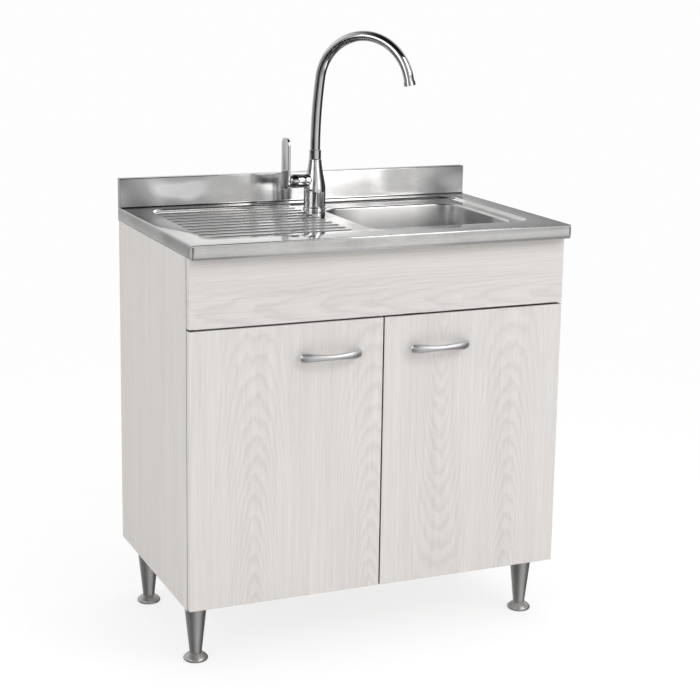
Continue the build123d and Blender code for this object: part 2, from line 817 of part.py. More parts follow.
# ---------------------------------------------------------------- bow handles
def handle(side, label):
    """Cast bow handle: oval sections along an arc, thin in the middle, full at its ends."""
    centre_x = side * handle_from_centre
    centre_z = door_top - handle_below_door_top
    rise = handle_projection - handle_half_thickness
    half_chord = handle_length / 2 - handle_half_thickness / math.sqrt(2)
    radius = (half_chord**2 + rise**2) / (2 * rise)
    end_angle = math.asin(half_chord / radius)
    arc_centre_y = door_face + radius - rise
    growth = handle_end_half_height - handle_mid_half_height
    shares = [0, 0.25, 0.5, 0.75, handle_end_share]
    heights = [handle_mid_half_height + growth * math.sin(math.pi / 2 * share**2) for share in shares]
    half = list(zip(shares, heights)) + [(1, handle_end_half_height * handle_end_narrowing)]
    sections = [(-share, height) for share, height in reversed(half)] + half[1:]
    with BuildPart() as bow:
        for share, height in sections:
            angle = share * end_angle
            point = (centre_x + radius * math.sin(angle), arc_centre_y - radius * math.cos(angle), centre_z)
            tangent = (math.cos(angle), math.sin(angle), 0)
            with BuildSketch(Plane(origin=point, x_dir=(0, 0, 1), z_dir=tangent)):
                Ellipse(height, handle_half_thickness)
        loft()
        with BuildSketch(Plane.XZ.offset(-door_face)):
            with Locations(*[(centre_x + s * handle_post_spacing / 2, centre_z) for s in (-1, 1)]):
                Circle(handle_post_radius)
        post_angle = math.asin(handle_post_spacing / 2 / radius)
        extrude(amount=radius * math.cos(post_angle) - radius + rise)
        split(bisect_by=Plane.XZ.offset(-door_face), keep=Keep.TOP)
        with BuildSketch(Plane.XZ.offset(-door_face)):
            with Locations(*[(centre_x + s * handle_post_spacing / 2, centre_z) for s in (-1, 1)]):
                Circle(screw_radius)
        extrude(amount=handle_screw_grip, mode=Mode.SUBTRACT)
    bow.part.label = label
    export_step(bow.part, f"parts/{label}.step")
    return bow.part


def handle_screws(side, label):
    """Machine screws through one door into its handle."""
    centre_x = side * handle_from_centre
    centre_z = door_top - handle_below_door_top
    places = [(centre_x + s * handle_post_spacing / 2, centre_z) for s in (-1, 1)]
    with BuildPart() as screws:
        with BuildSketch(Plane.XZ.offset(-door_back)):
            with Locations(*places):
                Circle(screw_radius)
        extrude(amount=panel + handle_screw_grip)
        with BuildSketch(Plane.XZ.offset(-door_back)):
            with Locations(*places):
                Circle(screw_head_radius)
        extrude(amount=-screw_head_height)
    screws.part.label = label
    export_step(screws.part, f"parts/{label}.step")
    return screws.part


for side, name in ((-1, "left"), (1, "right")):
    handle(side, f"handle_{name}")
    handle_screws(side, f"handle_screws_{name}")

with BuildPart() as door_bumpers:
    bumper_xs = (bumper_from_centre, bumper_from_centre + bumper_spacing)
    with BuildSketch(Plane.XZ.offset(-carcass_front)):
        with Locations(*[(s * x, board_top - bumper_below_board_top) for s in (-1, 1) for x in bumper_xs]):
            Circle(bumper_radius)
    extrude(amount=front_gap - body_gap)
door_bumpers.part.label = "door_bumpers"
export_step(door_bumpers.part, "parts/door_bumpers.step")

# ---------------------------------------------------------------- mixer tap
with BuildPart() as tap_base:
    with BuildSketch(Plane.XY.offset(recess_floor)):
        with Locations((tap_x, tap_y)):
            Circle(tap_base_radius)
            Circle(tap_shank_radius, mode=Mode.SUBTRACT)
    extrude(amount=tap_base_height)
    chamfer(tap_base.edges().group_by(Axis.Z)[-1].sort_by(SortBy.LENGTH)[-1], length=tap_base_edge)
tap_base.part.label = "tap_base"
export_step(tap_base.part, "parts/tap_base.step")

spout_bore = spout_radius + running_clearance
with BuildPart() as tap_body:
    with BuildSketch(Plane.XZ.offset(-tap_y)):
        with BuildLine():
            shoulder = (tap_x + tap_body_radius, tap_base_top + tap_body_straight)
            waist = (tap_x + tap_waist_radius, tap_body_top)
            Polyline((tap_x, tap_body_top), (tap_x, tap_base_top), (tap_x + tap_body_radius, tap_base_top))
            Line((tap_x + tap_body_radius, tap_base_top), shoulder)
            Spline(shoulder, waist, tangents=((0, 1), (-0.08, 1)))
            Line(waist, (tap_x, tap_body_top))
        make_face()
    revolve(axis=Axis((tap_x, tap_y, 0), (0, 0, 1)))
    with BuildSketch(Plane.YZ.offset(tap_x)):
        with Locations((tap_y, barrel_z)):
            Circle(barrel_radius)
    extrude(amount=-barrel_length)
    with BuildSketch(Plane.XY.offset(tap_base_top)):
        with Locations((tap_x, tap_y)):
            Circle(tap_shank_radius)
    extrude(amount=-(tap_base_height + tap_shank_length))
    # bores: spout socket, cartridge chamber and the two inlet threads
    with BuildSketch(Plane.XY.offset(tap_body_top)):
        with Locations((tap_x, tap_y)):
            Circle(spout_bore)
    extrude(amount=-(spout_insert + running_clearance), mode=Mode.SUBTRACT)
    with BuildSketch(Plane.YZ.offset(barrel_end_x)):
        with Locations((tap_y, barrel_z)):
            Circle(cartridge_radius)
    extrude(amount=cartridge_nut_length + cartridge_length, mode=Mode.SUBTRACT)
    with BuildSketch(Plane.XY.offset(recess_floor - tap_shank_length)):
        with Locations((tap_x, tap_y - inlet_spacing / 2), (tap_x, tap_y + inlet_spacing / 2)):
            Circle(inlet_thread_radius)
    extrude(amount=inlet_thread_depth, mode=Mode.SUBTRACT)
tap_body.part.label = "tap_body"
export_step(tap_body.part, "parts/tap_body.step")

with BuildPart() as cartridge:
    with BuildSketch(Plane.YZ.offset(barrel_end_x + cartridge_nut_length)):
        with Locations((tap_y, barrel_z)):
            Circle(cartridge_radius)
    extrude(amount=cartridge_length)
cartridge.part.label = "cartridge"
export_step(cartridge.part, "parts/cartridge.step")

with BuildPart() as cartridge_nut:
    with BuildSketch(Plane.YZ.offset(barrel_end_x)):
        with Locations((tap_y, barrel_z)):
            Circle(cartridge_radius)
            Circle(stem_radius + stem_clearance, mode=Mode.SUBTRACT)
    extrude(amount=cartridge_nut_length)
cartridge_nut.part.label = "cartridge_nut"
export_step(cartridge_nut.part, "parts/cartridge_nut.step")

cap_start_x = barrel_end_x - body_gap
cap_end_x = cap_start_x - cap_length
lever_pivot_x = cap_end_x + lever_pivot_from_cap_end
with BuildPart() as mixer_cap:
    with BuildSketch(Plane.XZ.offset(-tap_y)):
        with BuildLine():
            Polyline(
                (cap_start_x, barrel_z + barrel_radius),
                (cap_end_x + cap_end_cone, barrel_z + barrel_radius),
                (cap_end_x, barrel_z + cap_end_flat),
                (cap_end_x, barrel_z + cap_hole_radius),
                (cap_end_x + cap_wall, barrel_z + cap_hole_radius),
                (cap_end_x + cap_wall, barrel_z + cap_end_flat - cap_lip),
                (cap_end_x + cap_wall + cap_end_cone, barrel_z + barrel_radius - cap_wall),
                (cap_start_x, barrel_z + barrel_radius - cap_wall),
                close=True,
            )
        make_face()
    revolve(axis=Axis((0, tap_y, barrel_z), (1, 0, 0)))
    # blind holes that hold the lever's pin
    with BuildSketch(Plane.XZ.offset(-(tap_y - lever_pin_half_length))):
        with Locations((lever_pivot_x, barrel_z)):
            Circle(lever_pin_radius)
    extrude(amount=-2 * lever_pin_half_length, mode=Mode.SUBTRACT)
mixer_cap.part.label = "mixer_cap"
export_step(mixer_cap.part, "parts/mixer_cap.step")

stem_end_x = lever_pivot_x + cap_end_cone - cap_wall + stem_clearance
with BuildPart() as mixer_stem:
    with BuildSketch(Plane.YZ.offset(barrel_end_x + cartridge_nut_length - body_gap)):
        with Locations((tap_y, barrel_z)):
            Circle(stem_radius)
    extrude(amount=-(barrel_end_x + cartridge_nut_length - body_gap - stem_end_x))
    # a web ties the stem to the cap's wall
    with BuildSketch(Plane.YZ.offset(stem_end_x)):
        with Locations((tap_y, barrel_z)):
            Rectangle(2 * (barrel_radius - cap_wall) - stem_clearance, stem_radius)
            Circle(stem_radius)
    extrude(amount=cap_wall)
mixer_stem.part.label = "mixer_stem"
export_step(mixer_stem.part, "parts/mixer_stem.step")

with BuildPart() as lever_pin:
    with BuildSketch(Plane.XZ.offset(-(tap_y - lever_pin_half_length))):
        with Locations((lever_pivot_x, barrel_z)):
            Circle(lever_pin_radius)
    extrude(amount=-2 * lever_pin_half_length)
lever_pin.part.label = "lever_pin"
export_step(lever_pin.part, "parts/lever_pin.step")

lever_inner_x = cap_end_x - lever_gap
with BuildPart() as lever:
    with BuildSketch(Plane.YZ.offset(lever_inner_x)):
        with BuildLine():
            low = barrel_z - lever_below_axis
            high = barrel_z + lever_above_axis
            half_low = lever_width / 2
            half_high = lever_top_width / 2
            front_low = (tap_y - half_low, low + lever_low_shoulder)
            back_low = (tap_y + half_low, low + lever_low_shoulder)
            front_high = (tap_y - half_high, high - lever_high_shoulder)
            back_high = (tap_y + half_high, high - lever_high_shoulder)
            ThreePointArc(front_low, (tap_y, low), back_low)
            Line(back_low, back_high)
            ThreePointArc(back_high, (tap_y, high), front_high)
            Line(front_high, front_low)
        make_face()
    extrude(amount=-lever_thickness)
    fillet(lever.edges().group_by(Axis.X)[0], radius=lever_edge_radius)
    fillet(lever.edges().group_by(Axis.X)[-1], radius=lever_edge_radius / 2)
    hub_end_x = lever_pivot_x + lever_pin_radius + lever_hub_wall
    with BuildSketch(Plane.YZ.offset(lever_inner_x)):
        with Locations((tap_y, barrel_z)):
            Circle(stem_radius)
    extrude(amount=hub_end_x - lever_inner_x)
    with BuildSketch(Plane.XZ.offset(-(tap_y - stem_radius))):
        with Locations((lever_pivot_x, barrel_z)):
            Circle(lever_pin_radius + running_clearance)
    extrude(amount=-2 * stem_radius, mode=Mode.SUBTRACT)
lever.part.label = "lever"
export_step(lever.part, "parts/lever.step")

# ---------------------------------------------------------------- swivelling spout
azimuth = math.radians(spout_rest_azimuth)
spout_plane = Plane(
    origin=(tap_x, tap_y, 0),
    x_dir=(math.cos(azimuth), math.sin(azimuth), 0),
    z_dir=(math.sin(azimuth), -math.cos(azimuth), 0),
)
collar_bottom = tap_body_top + body_gap
spout_bottom = tap_body_top - spout_insert
spout_bend_start = tap_base_top + spout_straight_top
with BuildPart() as spout:
    with BuildLine(spout_plane) as spout_path:
        riser = Line((0, spout_bottom), (0, spout_bend_start))
        lean = JernArc(riser @ 1, riser % 1, spout_lean_radius, -spout_lean_angle)
        arch = JernArc(lean @ 1, lean % 1, spout_arc_radius, -spout_arc_angle)
        Line(arch @ 1, arch @ 1 + (arch % 1) * spout_tail)
    with BuildSketch(Plane.XY.offset(spout_bottom)):
        with Locations((tap_x, tap_y)):
            Circle(spout_radius)
            Circle(spout_radius - spout_wall, mode=Mode.SUBTRACT)
    sweep(path=spout_path.line)
spout.part.label = "spout"
export_step(spout.part, "parts/spout.step")

with BuildPart() as spout_collar:
    with BuildSketch(Plane.XY.offset(collar_bottom)):
        with Locations((tap_x, tap_y)):
            Circle(collar_radius)
            Circle(spout_radius, mode=Mode.SUBTRACT)
    extrude(amount=collar_height)
    chamfer(spout_collar.edges().group_by(Axis.Z)[-1].sort_by(SortBy.LENGTH)[-1], length=collar_edge)
spout_collar.part.label = "spout_collar"
export_step(spout_collar.part, "parts/spout_collar.step")

spout_end = spout_path.line @ 1
spout_end_direction = spout_path.line % 1
outlet_plane = Plane(origin=spout_end, z_dir=spout_end_direction)
with BuildPart() as aerator:
    with BuildSketch(outlet_plane.offset(-aerator_overlap)):
        Circle(aerator_radius)
        Circle(spout_radius, mode=Mode.SUBTRACT)
    extrude(amount=aerator_overlap)
    with BuildSketch(outlet_plane):
        Circle(aerator_radius)
        Circle(spout_radius - spout_wall, mode=Mode.SUBTRACT)
    extrude(amount=aerator_length - aerator_overlap)
    with BuildSketch(outlet_plane.offset(aerator_recess)):
        Circle(spout_radius - spout_wall)
        with PolarLocations(aerator_hole_circle, aerator_hole_count):
            Circle(aerator_hole_radius, mode=Mode.SUBTRACT)
    extrude(amount=spout_wall)
aerator.part.label = "aerator"
export_step(aerator.part, "parts/aerator.step")

# ---------------------------------------------------------------- tap fixing below the deck
washer_top = recess_floor - sheet
with BuildPart() as tap_washer:
    with BuildSketch(Plane.XY.offset(washer_top)):
        with Locations((tap_x, tap_y)):
            Circle(tap_nut_radius)
            Circle(tap_shank_radius, mode=Mode.SUBTRACT)
    extrude(amount=-tap_washer_thickness)
tap_washer.part.label = "tap_washer"
export_step(tap_washer.part, "parts/tap_washer.step")

with BuildPart() as tap_nut:
    with BuildSketch(Plane.XY.offset(washer_top - tap_washer_thickness)):
        with Locations((tap_x, tap_y)):
            RegularPolygon(tap_nut_radius, 6)
            Circle(tap_shank_radius, mode=Mode.SUBTRACT)
    extrude(amount=-tap_nut_height)
tap_nut.part.label = "tap_nut"
export_step(tap_nut.part, "parts/tap_nut.step")

# ---------------------------------------------------------------- basket strainer waste
waste_centre = (bowl_centre_x, bowl_centre_y)
flange_top = bowl_floor + waste_flange_thickness
cup_bottom = bowl_floor - waste_cup_depth
with BuildPart() as waste_flange:
    with BuildSketch(Plane.XY.offset(bowl_floor)):
        with Locations(waste_centre):
            Circle(waste_flange_radius)
    extrude(amount=waste_flange_thickness)
    chamfer(waste_flange.edges().group_by(Axis.Z)[-1], length=waste_flange_thickness / 2)
    with BuildSketch(Plane.XY.offset(bowl_floor)):
        with Locations(waste_centre):
            Circle(waste_cup_radius)
    extrude(amount=-waste_cup_depth)
    with BuildSketch(Plane.XY.offset(flange_top)):
        with Locations(waste_centre):
            Circle(waste_cup_radius - waste_wall)
    extrude(amount=-(waste_cup_depth + waste_flange_thickness - waste_wall), mode=Mode.SUBTRACT)
    with BuildSketch(Plane.XY.offset(cup_bottom)):
        with Locations(waste_centre):
            Circle(waste_outlet_radius)
    extrude(amount=waste_wall, mode=Mode.SUBTRACT)
waste_flange.part.label = "waste_flange"
export_step(waste_flange.part, "parts/waste_flange.step")

with BuildPart() as waste_gasket:
    with BuildSketch(Plane.XY.offset(bowl_underside)):
        with Locations(waste_centre):
            Circle(waste_nut_radius)
            Circle(waste_cup_radius, mode=Mode.SUBTRACT)
    extrude(amount=-gasket_thickness)
waste_gasket.part.label = "waste_gasket"
export_step(waste_gasket.part, "parts/waste_gasket.step")

with BuildPart() as waste_nut:
    with BuildSketch(Plane.XY.offset(bowl_underside - gasket_thickness)):
        with Locations(waste_centre):
            Circle(waste_nut_radius)
            with PolarLocations(waste_nut_radius, waste_nut_groove_count):
                Circle(waste_nut_groove_radius, mode=Mode.SUBTRACT)
            Circle(waste_cup_radius, mode=Mode.SUBTRACT)
    extrude(amount=-waste_nut_height)
waste_nut.part.label = "waste_nut"
export_step(waste_nut.part, "parts/waste_nut.step")

tail_bottom = cup_bottom - tailpiece_length
with BuildPart() as waste_tailpiece:
    with BuildSketch(Plane.XY.offset(cup_bottom)):
        with Locations(waste_centre):
            Circle(pipe_flange_radius)
    extrude(amount=-pipe_flange_thickness)
    with BuildSketch(Plane.XY.offset(cup_bottom)):
        with Locations(waste_centre):
            Circle(pipe_radius)
    extrude(amount=-tailpiece_length)
    with BuildSketch(Plane.XY.offset(cup_bottom)):
        with Locations(waste_centre):
            Circle(pipe_radius - pipe_wall)
    extrude(amount=-tailpiece_length, mode=Mode.SUBTRACT)
waste_tailpiece.part.label = "waste_tailpiece"
export_step(waste_tailpiece.part, "parts/waste_tailpiece.step")

with BuildPart() as strainer_basket:
    with BuildSketch(Plane.XY.offset(flange_top)):
        with Locations(waste_centre):
            Circle(basket_rim_radius)
    extrude(amount=basket_wall)
    with BuildSketch(Plane.XY.offset(flange_top)):
        with Locations(waste_centre):
            Circle(basket_radius)
    extrude(amount=-basket_depth)
    fillet(strainer_basket.edges().group_by(Axis.Z)[0], radius=basket_edge_radius)
    with BuildSketch(Plane.XY.offset(flange_top + basket_wall)):
        with Locations(waste_centre):
            Circle(basket_radius - basket_wall)
    extrude(amount=-basket_depth, mode=Mode.SUBTRACT)
    with BuildSketch(Plane.XY.offset(flange_top - basket_depth)):
        with Locations(waste_centre):
            with PolarLocations(basket_inner_circle, basket_inner_holes):
                Circle(basket_hole_radius)
            with PolarLocations(basket_outer_circle, basket_outer_holes):
                Circle(basket_hole_radius)
    extrude(amount=basket_wall, mode=Mode.SUBTRACT)
strainer_basket.part.label = "strainer_basket"
export_step(strainer_basket.part, "parts/strainer_basket.step")

with BuildPart() as strainer_knob:
    with BuildSketch(Plane.XY.offset(flange_top - basket_depth + basket_wall)):
        with Locations(waste_centre):
            Circle(basket_stem_radius)
    extrude(amount=basket_depth - basket_wall + basket_knob_rise)
    with BuildSketch(Plane.XY.offset(flange_top + basket_knob_rise)):
        with Locations(waste_centre):
            Circle(basket_knob_radius)
    extrude(amount=-basket_knob_thickness)
strainer_knob.part.label = "strainer_knob"
export_step(strainer_knob.part, "parts/strainer_knob.step")

# ---------------------------------------------------------------- bottle trap
trap_top = tail_bottom
trap_bottom = trap_top - trap_height
outlet_z = trap_top - trap_outlet_drop
with BuildPart() as trap_inlet_nut:
    with BuildSketch(Plane.XY.offset(trap_top)):
        with Locations(waste_centre):
            Circle(trap_nut_radius)
            with PolarLocations(trap_nut_radius, trap_nut_groove_count):
                Circle(trap_nut_groove_radius, mode=Mode.SUBTRACT)
            Circle(pipe_radius, mode=Mode.SUBTRACT)
    extrude(amount=trap_nut_length)
trap_inlet_nut.part.label = "trap_inlet_nut"
export_step(trap_inlet_nut.part, "parts/trap_inlet_nut.step")

with BuildPart() as trap_body:
    with BuildSketch(Plane.XY.offset(trap_top)):
        with Locations(waste_centre):
            Circle(trap_radius)
    extrude(amount=-trap_height)
    with BuildSketch(Plane.XZ.offset(-bowl_centre_y)):
        with Locations((bowl_centre_x, outlet_z)):
            Circle(spigot_radius)
    extrude(amount=-(trap_radius + trap_nut_length / 2))
    with BuildSketch(Plane.XY.offset(trap_bottom)):
        with Locations(waste_centre):
            Circle(trap_radius - trap_wall)
    extrude(amount=trap_height - trap_wall, mode=Mode.SUBTRACT)
    with BuildSketch(Plane.XZ.offset(-bowl_centre_y)):
        with Locations((bowl_centre_x, outlet_z)):
            Circle(pipe_radius - pipe_wall)
    extrude(amount=-(trap_radius + trap_nut_length / 2), mode=Mode.SUBTRACT)
    with BuildSketch(Plane.XY.offset(trap_top)):
        with Locations(waste_centre):
            Circle(pipe_radius - pipe_wall)
    extrude(amount=-trap_wall, mode=Mode.SUBTRACT)
    # dip pipe that makes the water seal
    with BuildSketch(Plane.XY.offset(trap_top)):
        with Locations(waste_centre):
            Circle(pipe_radius - pipe_wall + dip_pipe_wall)
            Circle(pipe_radius - pipe_wall, mode=Mode.SUBTRACT)
    extrude(amount=-(trap_height - dip_pipe_gap))
trap_body.part.label = "trap_body"
export_step(trap_body.part, "parts/trap_body.step")

with BuildPart() as trap_cup:
    with BuildSketch(Plane.XY.offset(trap_bottom + trap_cup_overlap)):
        with Locations(waste_centre):
            Circle(trap_cup_radius)
    extrude(amount=-trap_cup_height)
    fillet(trap_cup.edges().group_by(Axis.Z)[0], radius=trap_cup_edge_radius)
    with BuildSketch(Plane.XY.offset(trap_bottom + trap_cup_overlap)):
        with Locations(waste_centre):
            Circle(trap_radius)
    extrude(amount=-trap_cup_overlap, mode=Mode.SUBTRACT)
    with BuildSketch(Plane.XY.offset(trap_bottom)):
        with Locations(waste_centre):
            Circle(trap_radius - trap_wall)
    extrude(amount=-(trap_cup_height - trap_cup_overlap - trap_wall), mode=Mode.SUBTRACT)
trap_cup.part.label = "trap_cup"
export_step(trap_cup.part, "parts/trap_cup.step")

outlet_joint_y = bowl_centre_y + trap_radius + trap_nut_length / 2
outlet_end_y = back_y - outlet_back_clearance
with BuildPart() as trap_outlet_nut:
    with BuildSketch(Plane.XZ.offset(-(outlet_joint_y - trap_nut_length / 2))):
        with Locations((bowl_centre_x, outlet_z)):
            Circle(trap_nut_radius)
            Circle(spigot_radius, mode=Mode.SUBTRACT)
    extrude(amount=-trap_nut_length)
    with BuildSketch(Plane.XY.offset(trap_top)):
        with Locations(waste_centre):
            Circle(trap_radius)
    extrude(amount=-trap_height, mode=Mode.SUBTRACT)
trap_outlet_nut.part.label = "trap_outlet_nut"
export_step(trap_outlet_nut.part, "parts/trap_outlet_nut.step")

spigot_end_y = outlet_joint_y + trap_nut_length / 2 + spigot_beyond_nut
pipe_start_y = spigot_end_y + spigot_cone
with BuildPart() as outlet_pipe:
    # a slim spigot passes the nut, then a cone widens it to the full pipe
    with BuildSketch(Plane.YZ.offset(bowl_centre_x)):
        with BuildLine():
            Polyline(
                (outlet_joint_y, outlet_z + pipe_radius - pipe_wall),
                (outlet_joint_y, outlet_z + spigot_radius),
                (spigot_end_y, outlet_z + spigot_radius),
                (pipe_start_y, outlet_z + pipe_radius),
                (outlet_end_y, outlet_z + pipe_radius),
                (outlet_end_y, outlet_z + pipe_radius - pipe_wall),
                close=True,
            )
        make_face()
    revolve(axis=Axis((bowl_centre_x, 0, outlet_z), (0, 1, 0)))
outlet_pipe.part.label = "outlet_pipe"
export_step(outlet_pipe.part, "parts/outlet_pipe.step")
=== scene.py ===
import json
import math

import bmesh
import bpy
from mathutils import Matrix, Vector

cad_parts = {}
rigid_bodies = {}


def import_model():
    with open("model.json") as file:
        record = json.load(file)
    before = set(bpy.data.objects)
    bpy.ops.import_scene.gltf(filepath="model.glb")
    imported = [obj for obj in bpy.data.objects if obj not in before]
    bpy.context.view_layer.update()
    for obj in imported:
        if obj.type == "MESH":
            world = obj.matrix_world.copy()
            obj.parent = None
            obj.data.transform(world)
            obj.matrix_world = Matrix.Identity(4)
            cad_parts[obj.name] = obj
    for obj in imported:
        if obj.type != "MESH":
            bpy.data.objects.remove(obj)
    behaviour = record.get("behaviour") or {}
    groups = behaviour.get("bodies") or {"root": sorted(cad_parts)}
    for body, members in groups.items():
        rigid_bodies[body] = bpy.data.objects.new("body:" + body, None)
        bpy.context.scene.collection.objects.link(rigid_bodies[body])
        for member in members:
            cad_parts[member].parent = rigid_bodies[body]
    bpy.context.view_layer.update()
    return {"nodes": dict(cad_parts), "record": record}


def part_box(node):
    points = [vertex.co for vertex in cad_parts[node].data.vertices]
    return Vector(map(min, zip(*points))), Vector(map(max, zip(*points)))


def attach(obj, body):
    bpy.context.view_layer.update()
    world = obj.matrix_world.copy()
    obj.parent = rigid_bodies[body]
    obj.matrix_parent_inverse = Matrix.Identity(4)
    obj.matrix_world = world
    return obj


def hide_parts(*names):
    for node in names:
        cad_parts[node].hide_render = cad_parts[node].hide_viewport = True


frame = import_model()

MM = 0.001
PIXELS = 700
X, Y, Z = 0, 1, 2

# -------------------------------- places, from the frame


def middle_of(node):
    low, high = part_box(node)
    return (Vector(low) + Vector(high)) / 2


def low_of(node):
    return Vector(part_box(node)[0])


def high_of(node):
    return Vector(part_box(node)[1])


LEFT, FRONT = low_of("worktop").x, low_of("worktop").y
RIGHT, BACK = high_of("worktop").x, high_of("worktop").y
LIP_BOTTOM = low_of("worktop").z
SPLASH_TOP = high_of("worktop").z
BOWL_RIM = high_of("bowl").z
RECESS_DEPTH = 4 * MM
DECK = BOWL_RIM + RECESS_DEPTH
BOWL_X, BOWL_Y = middle_of("bowl").x, middle_of("bowl").y
TAP_X, TAP_Y = middle_of("tap_base").x, middle_of("tap_base").y
TAP_FOOT = high_of("tap_base").z

# -------------------------------- camera
# solved from the photograph's edges: the camera's place and axes, and its focal length in pixels
CAMERA_PLACE = (-1317.9 * MM, -3078.4 * MM, 1368.7 * MM)
CAMERA_RIGHT = (0.91792, -0.39646, 0.0156)
CAMERA_UP = (0.06511, 0.18929, 0.97976)
CAMERA_FORWARD = (0.39139, 0.89833, -0.19957)
FOCAL_PIXELS = 1648.063
AXIS_ROW = 294
SENSOR = 36


def set_camera():
    """The photograph's viewpoint: a little above the worktop, to the left."""
    data = bpy.data.cameras.new("photo_camera")
    data.sensor_width = SENSOR
    data.lens = FOCAL_PIXELS / PIXELS * SENSOR
    data.shift_y = (AXIS_ROW - PIXELS / 2) / PIXELS
    data.clip_start = 0.05
    data.clip_end = 60
    camera = bpy.data.objects.new("photo_camera", data)
    bpy.context.scene.collection.objects.link(camera)
    turn = Matrix((CAMERA_RIGHT, CAMERA_UP, [-v for v in CAMERA_FORWARD])).transposed().to_4x4()
    camera.matrix_world = Matrix.Translation(CAMERA_PLACE) @ turn
    bpy.context.scene.camera = camera


set_camera()
bpy.context.scene.view_settings.view_transform = "Standard"


# -------------------------------- colours and nodes
def linear(hex_colour):
    """sRGB hex to the linear values that the shaders take."""
    channels = [int(hex_colour[i : i + 2], 16) / 255 for i in (1, 3, 5)]
    return [c / 12.92 if c <= 0.04045 else ((c + 0.055) / 1.055) ** 2.4 for c in channels] + [1.0]


def add_node(tree, kind, inputs=None, **settings):
    """Adds one node with its settings; an input is a value or another node's socket."""
    made = tree.nodes.new(kind)
    for key, value in settings.items():
        setattr(made, key, value)
    for key, value in (inputs or {}).items():
        if isinstance(value, bpy.types.NodeSocket):
            tree.links.new(value, made.inputs[key])
        else:
            made.inputs[key].default_value = value
    return made


def ramp_of(tree, factor, stops):
    """A colour ramp through (place, hex colour) stops."""
    ramp = add_node(tree, "ShaderNodeValToRGB", {"Fac": factor})
    ramp.color_ramp.elements[0].position, first = stops[0]
    ramp.color_ramp.elements[0].color = linear(first)
    ramp.color_ramp.elements[1].position, last = stops[-1]
    ramp.color_ramp.elements[1].color = linear(last)
    for place, colour in stops[1:-1]:
        ramp.color_ramp.elements.new(place).color = linear(colour)
    return ramp.outputs["Color"]


def new_material(name):
    """An empty material with its shader and output; returns (material, tree, shader, object coordinates)."""
    material = bpy.data.materials.new(name)
    material.use_nodes = True
    tree = material.node_tree
    tree.nodes.clear()
    shader = tree.nodes.new("ShaderNodeBsdfPrincipled")
    output = tree.nodes.new("ShaderNodeOutputMaterial")
    tree.links.new(shader.outputs["BSDF"], output.inputs["Surface"])
    place = add_node(tree, "ShaderNodeTexCoord").outputs["Object"]
    return material, tree, shader, place


def noise_of(tree, vector, scale, detail, more=None, **settings):
    """Smooth noise over the given coordinates."""
    inputs = {"Vector": vector, "Scale": scale, "Detail": detail, **(more or {})}
    return add_node(tree, "ShaderNodeTexNoise", inputs, **settings).outputs["Fac"]


def maths(tree, operation, *values):
    return add_node(tree, "ShaderNodeMath", dict(enumerate(values)), operation=operation).outputs[0]


def scaled(tree, value, low, high, new_low=0.0, new_high=1.0):
    """Maps the range from low to high onto a new one."""
    ends = {"From Min": low, "From Max": high, "To Min": new_low, "To Max": new_high}
    return add_node(tree, "ShaderNodeMapRange", {"Value": value, **ends}).outputs[0]


def mixed_colour(tree, share, first, second, blend="MIX"):
    return add_node(
        tree, "ShaderNodeMix", {"Factor": share, "A": first, "B": second}, data_type="RGBA", blend_type=blend
    ).outputs[2]


def bumped(tree, height, strength, distance_mm, normal=None):
    """A surface normal that follows the height, on top of another normal if one is given."""
    inputs = {"Height": height, "Strength": strength, "Distance": distance_mm * MM}
    if normal:
        inputs["Normal"] = normal
    return add_node(tree, "ShaderNodeBump", inputs).outputs["Normal"]


def spread_out(stops, low, high):
    """Brings the places of (place, colour) stops from the range low to high to the ramp's 0 to 1."""
    return [((place - low) / (high - low), colour) for place, colour in stops]


# -------------------------------- metals
GRAIN_STRETCH = 60
CLOUD_RATE = 14.0
# the tones of a patch of painted shade, and how many times a metre the patches repeat along x, y and z
PAINTED_SHADE_TONES = [(0.38, "#707070"), (0.47, "#949494"), (0.56, "#A8A8A8"), (0.64, "#E6E6E6")]
PAINTED_SHADE_RATE, PAINTED_SHADE_LEAN, PAINTED_SHADE_START = (7, 7, 16), (0, 0.5, 0), (1.3, 0, 0)


def painted_shade_patches(tree, place, colour, painted_shade):
    """A metal's colour darkened in soft slanting patches of painted shade, by (place along x in mm, strength)
    stops.
    """
    drawn_out = add_node(
        tree,
        "ShaderNodeMapping",
        {"Vector": place, "Scale": PAINTED_SHADE_RATE, "Rotation": PAINTED_SHADE_LEAN, "Location": PAINTED_SHADE_START},
    ).outputs[0]
    shaded_tone = ramp_of(tree, noise_of(tree, drawn_out, 1.0, 1.0), PAINTED_SHADE_TONES)
    along = add_node(tree, "ShaderNodeSeparateXYZ", {"Vector": place}).outputs["X"]
    share = ramp_of(tree, scaled(tree, along, LEFT, RIGHT), spread_out(painted_shade, LEFT / MM, RIGHT / MM))
    return mixed_colour(tree, share, colour, shaded_tone)


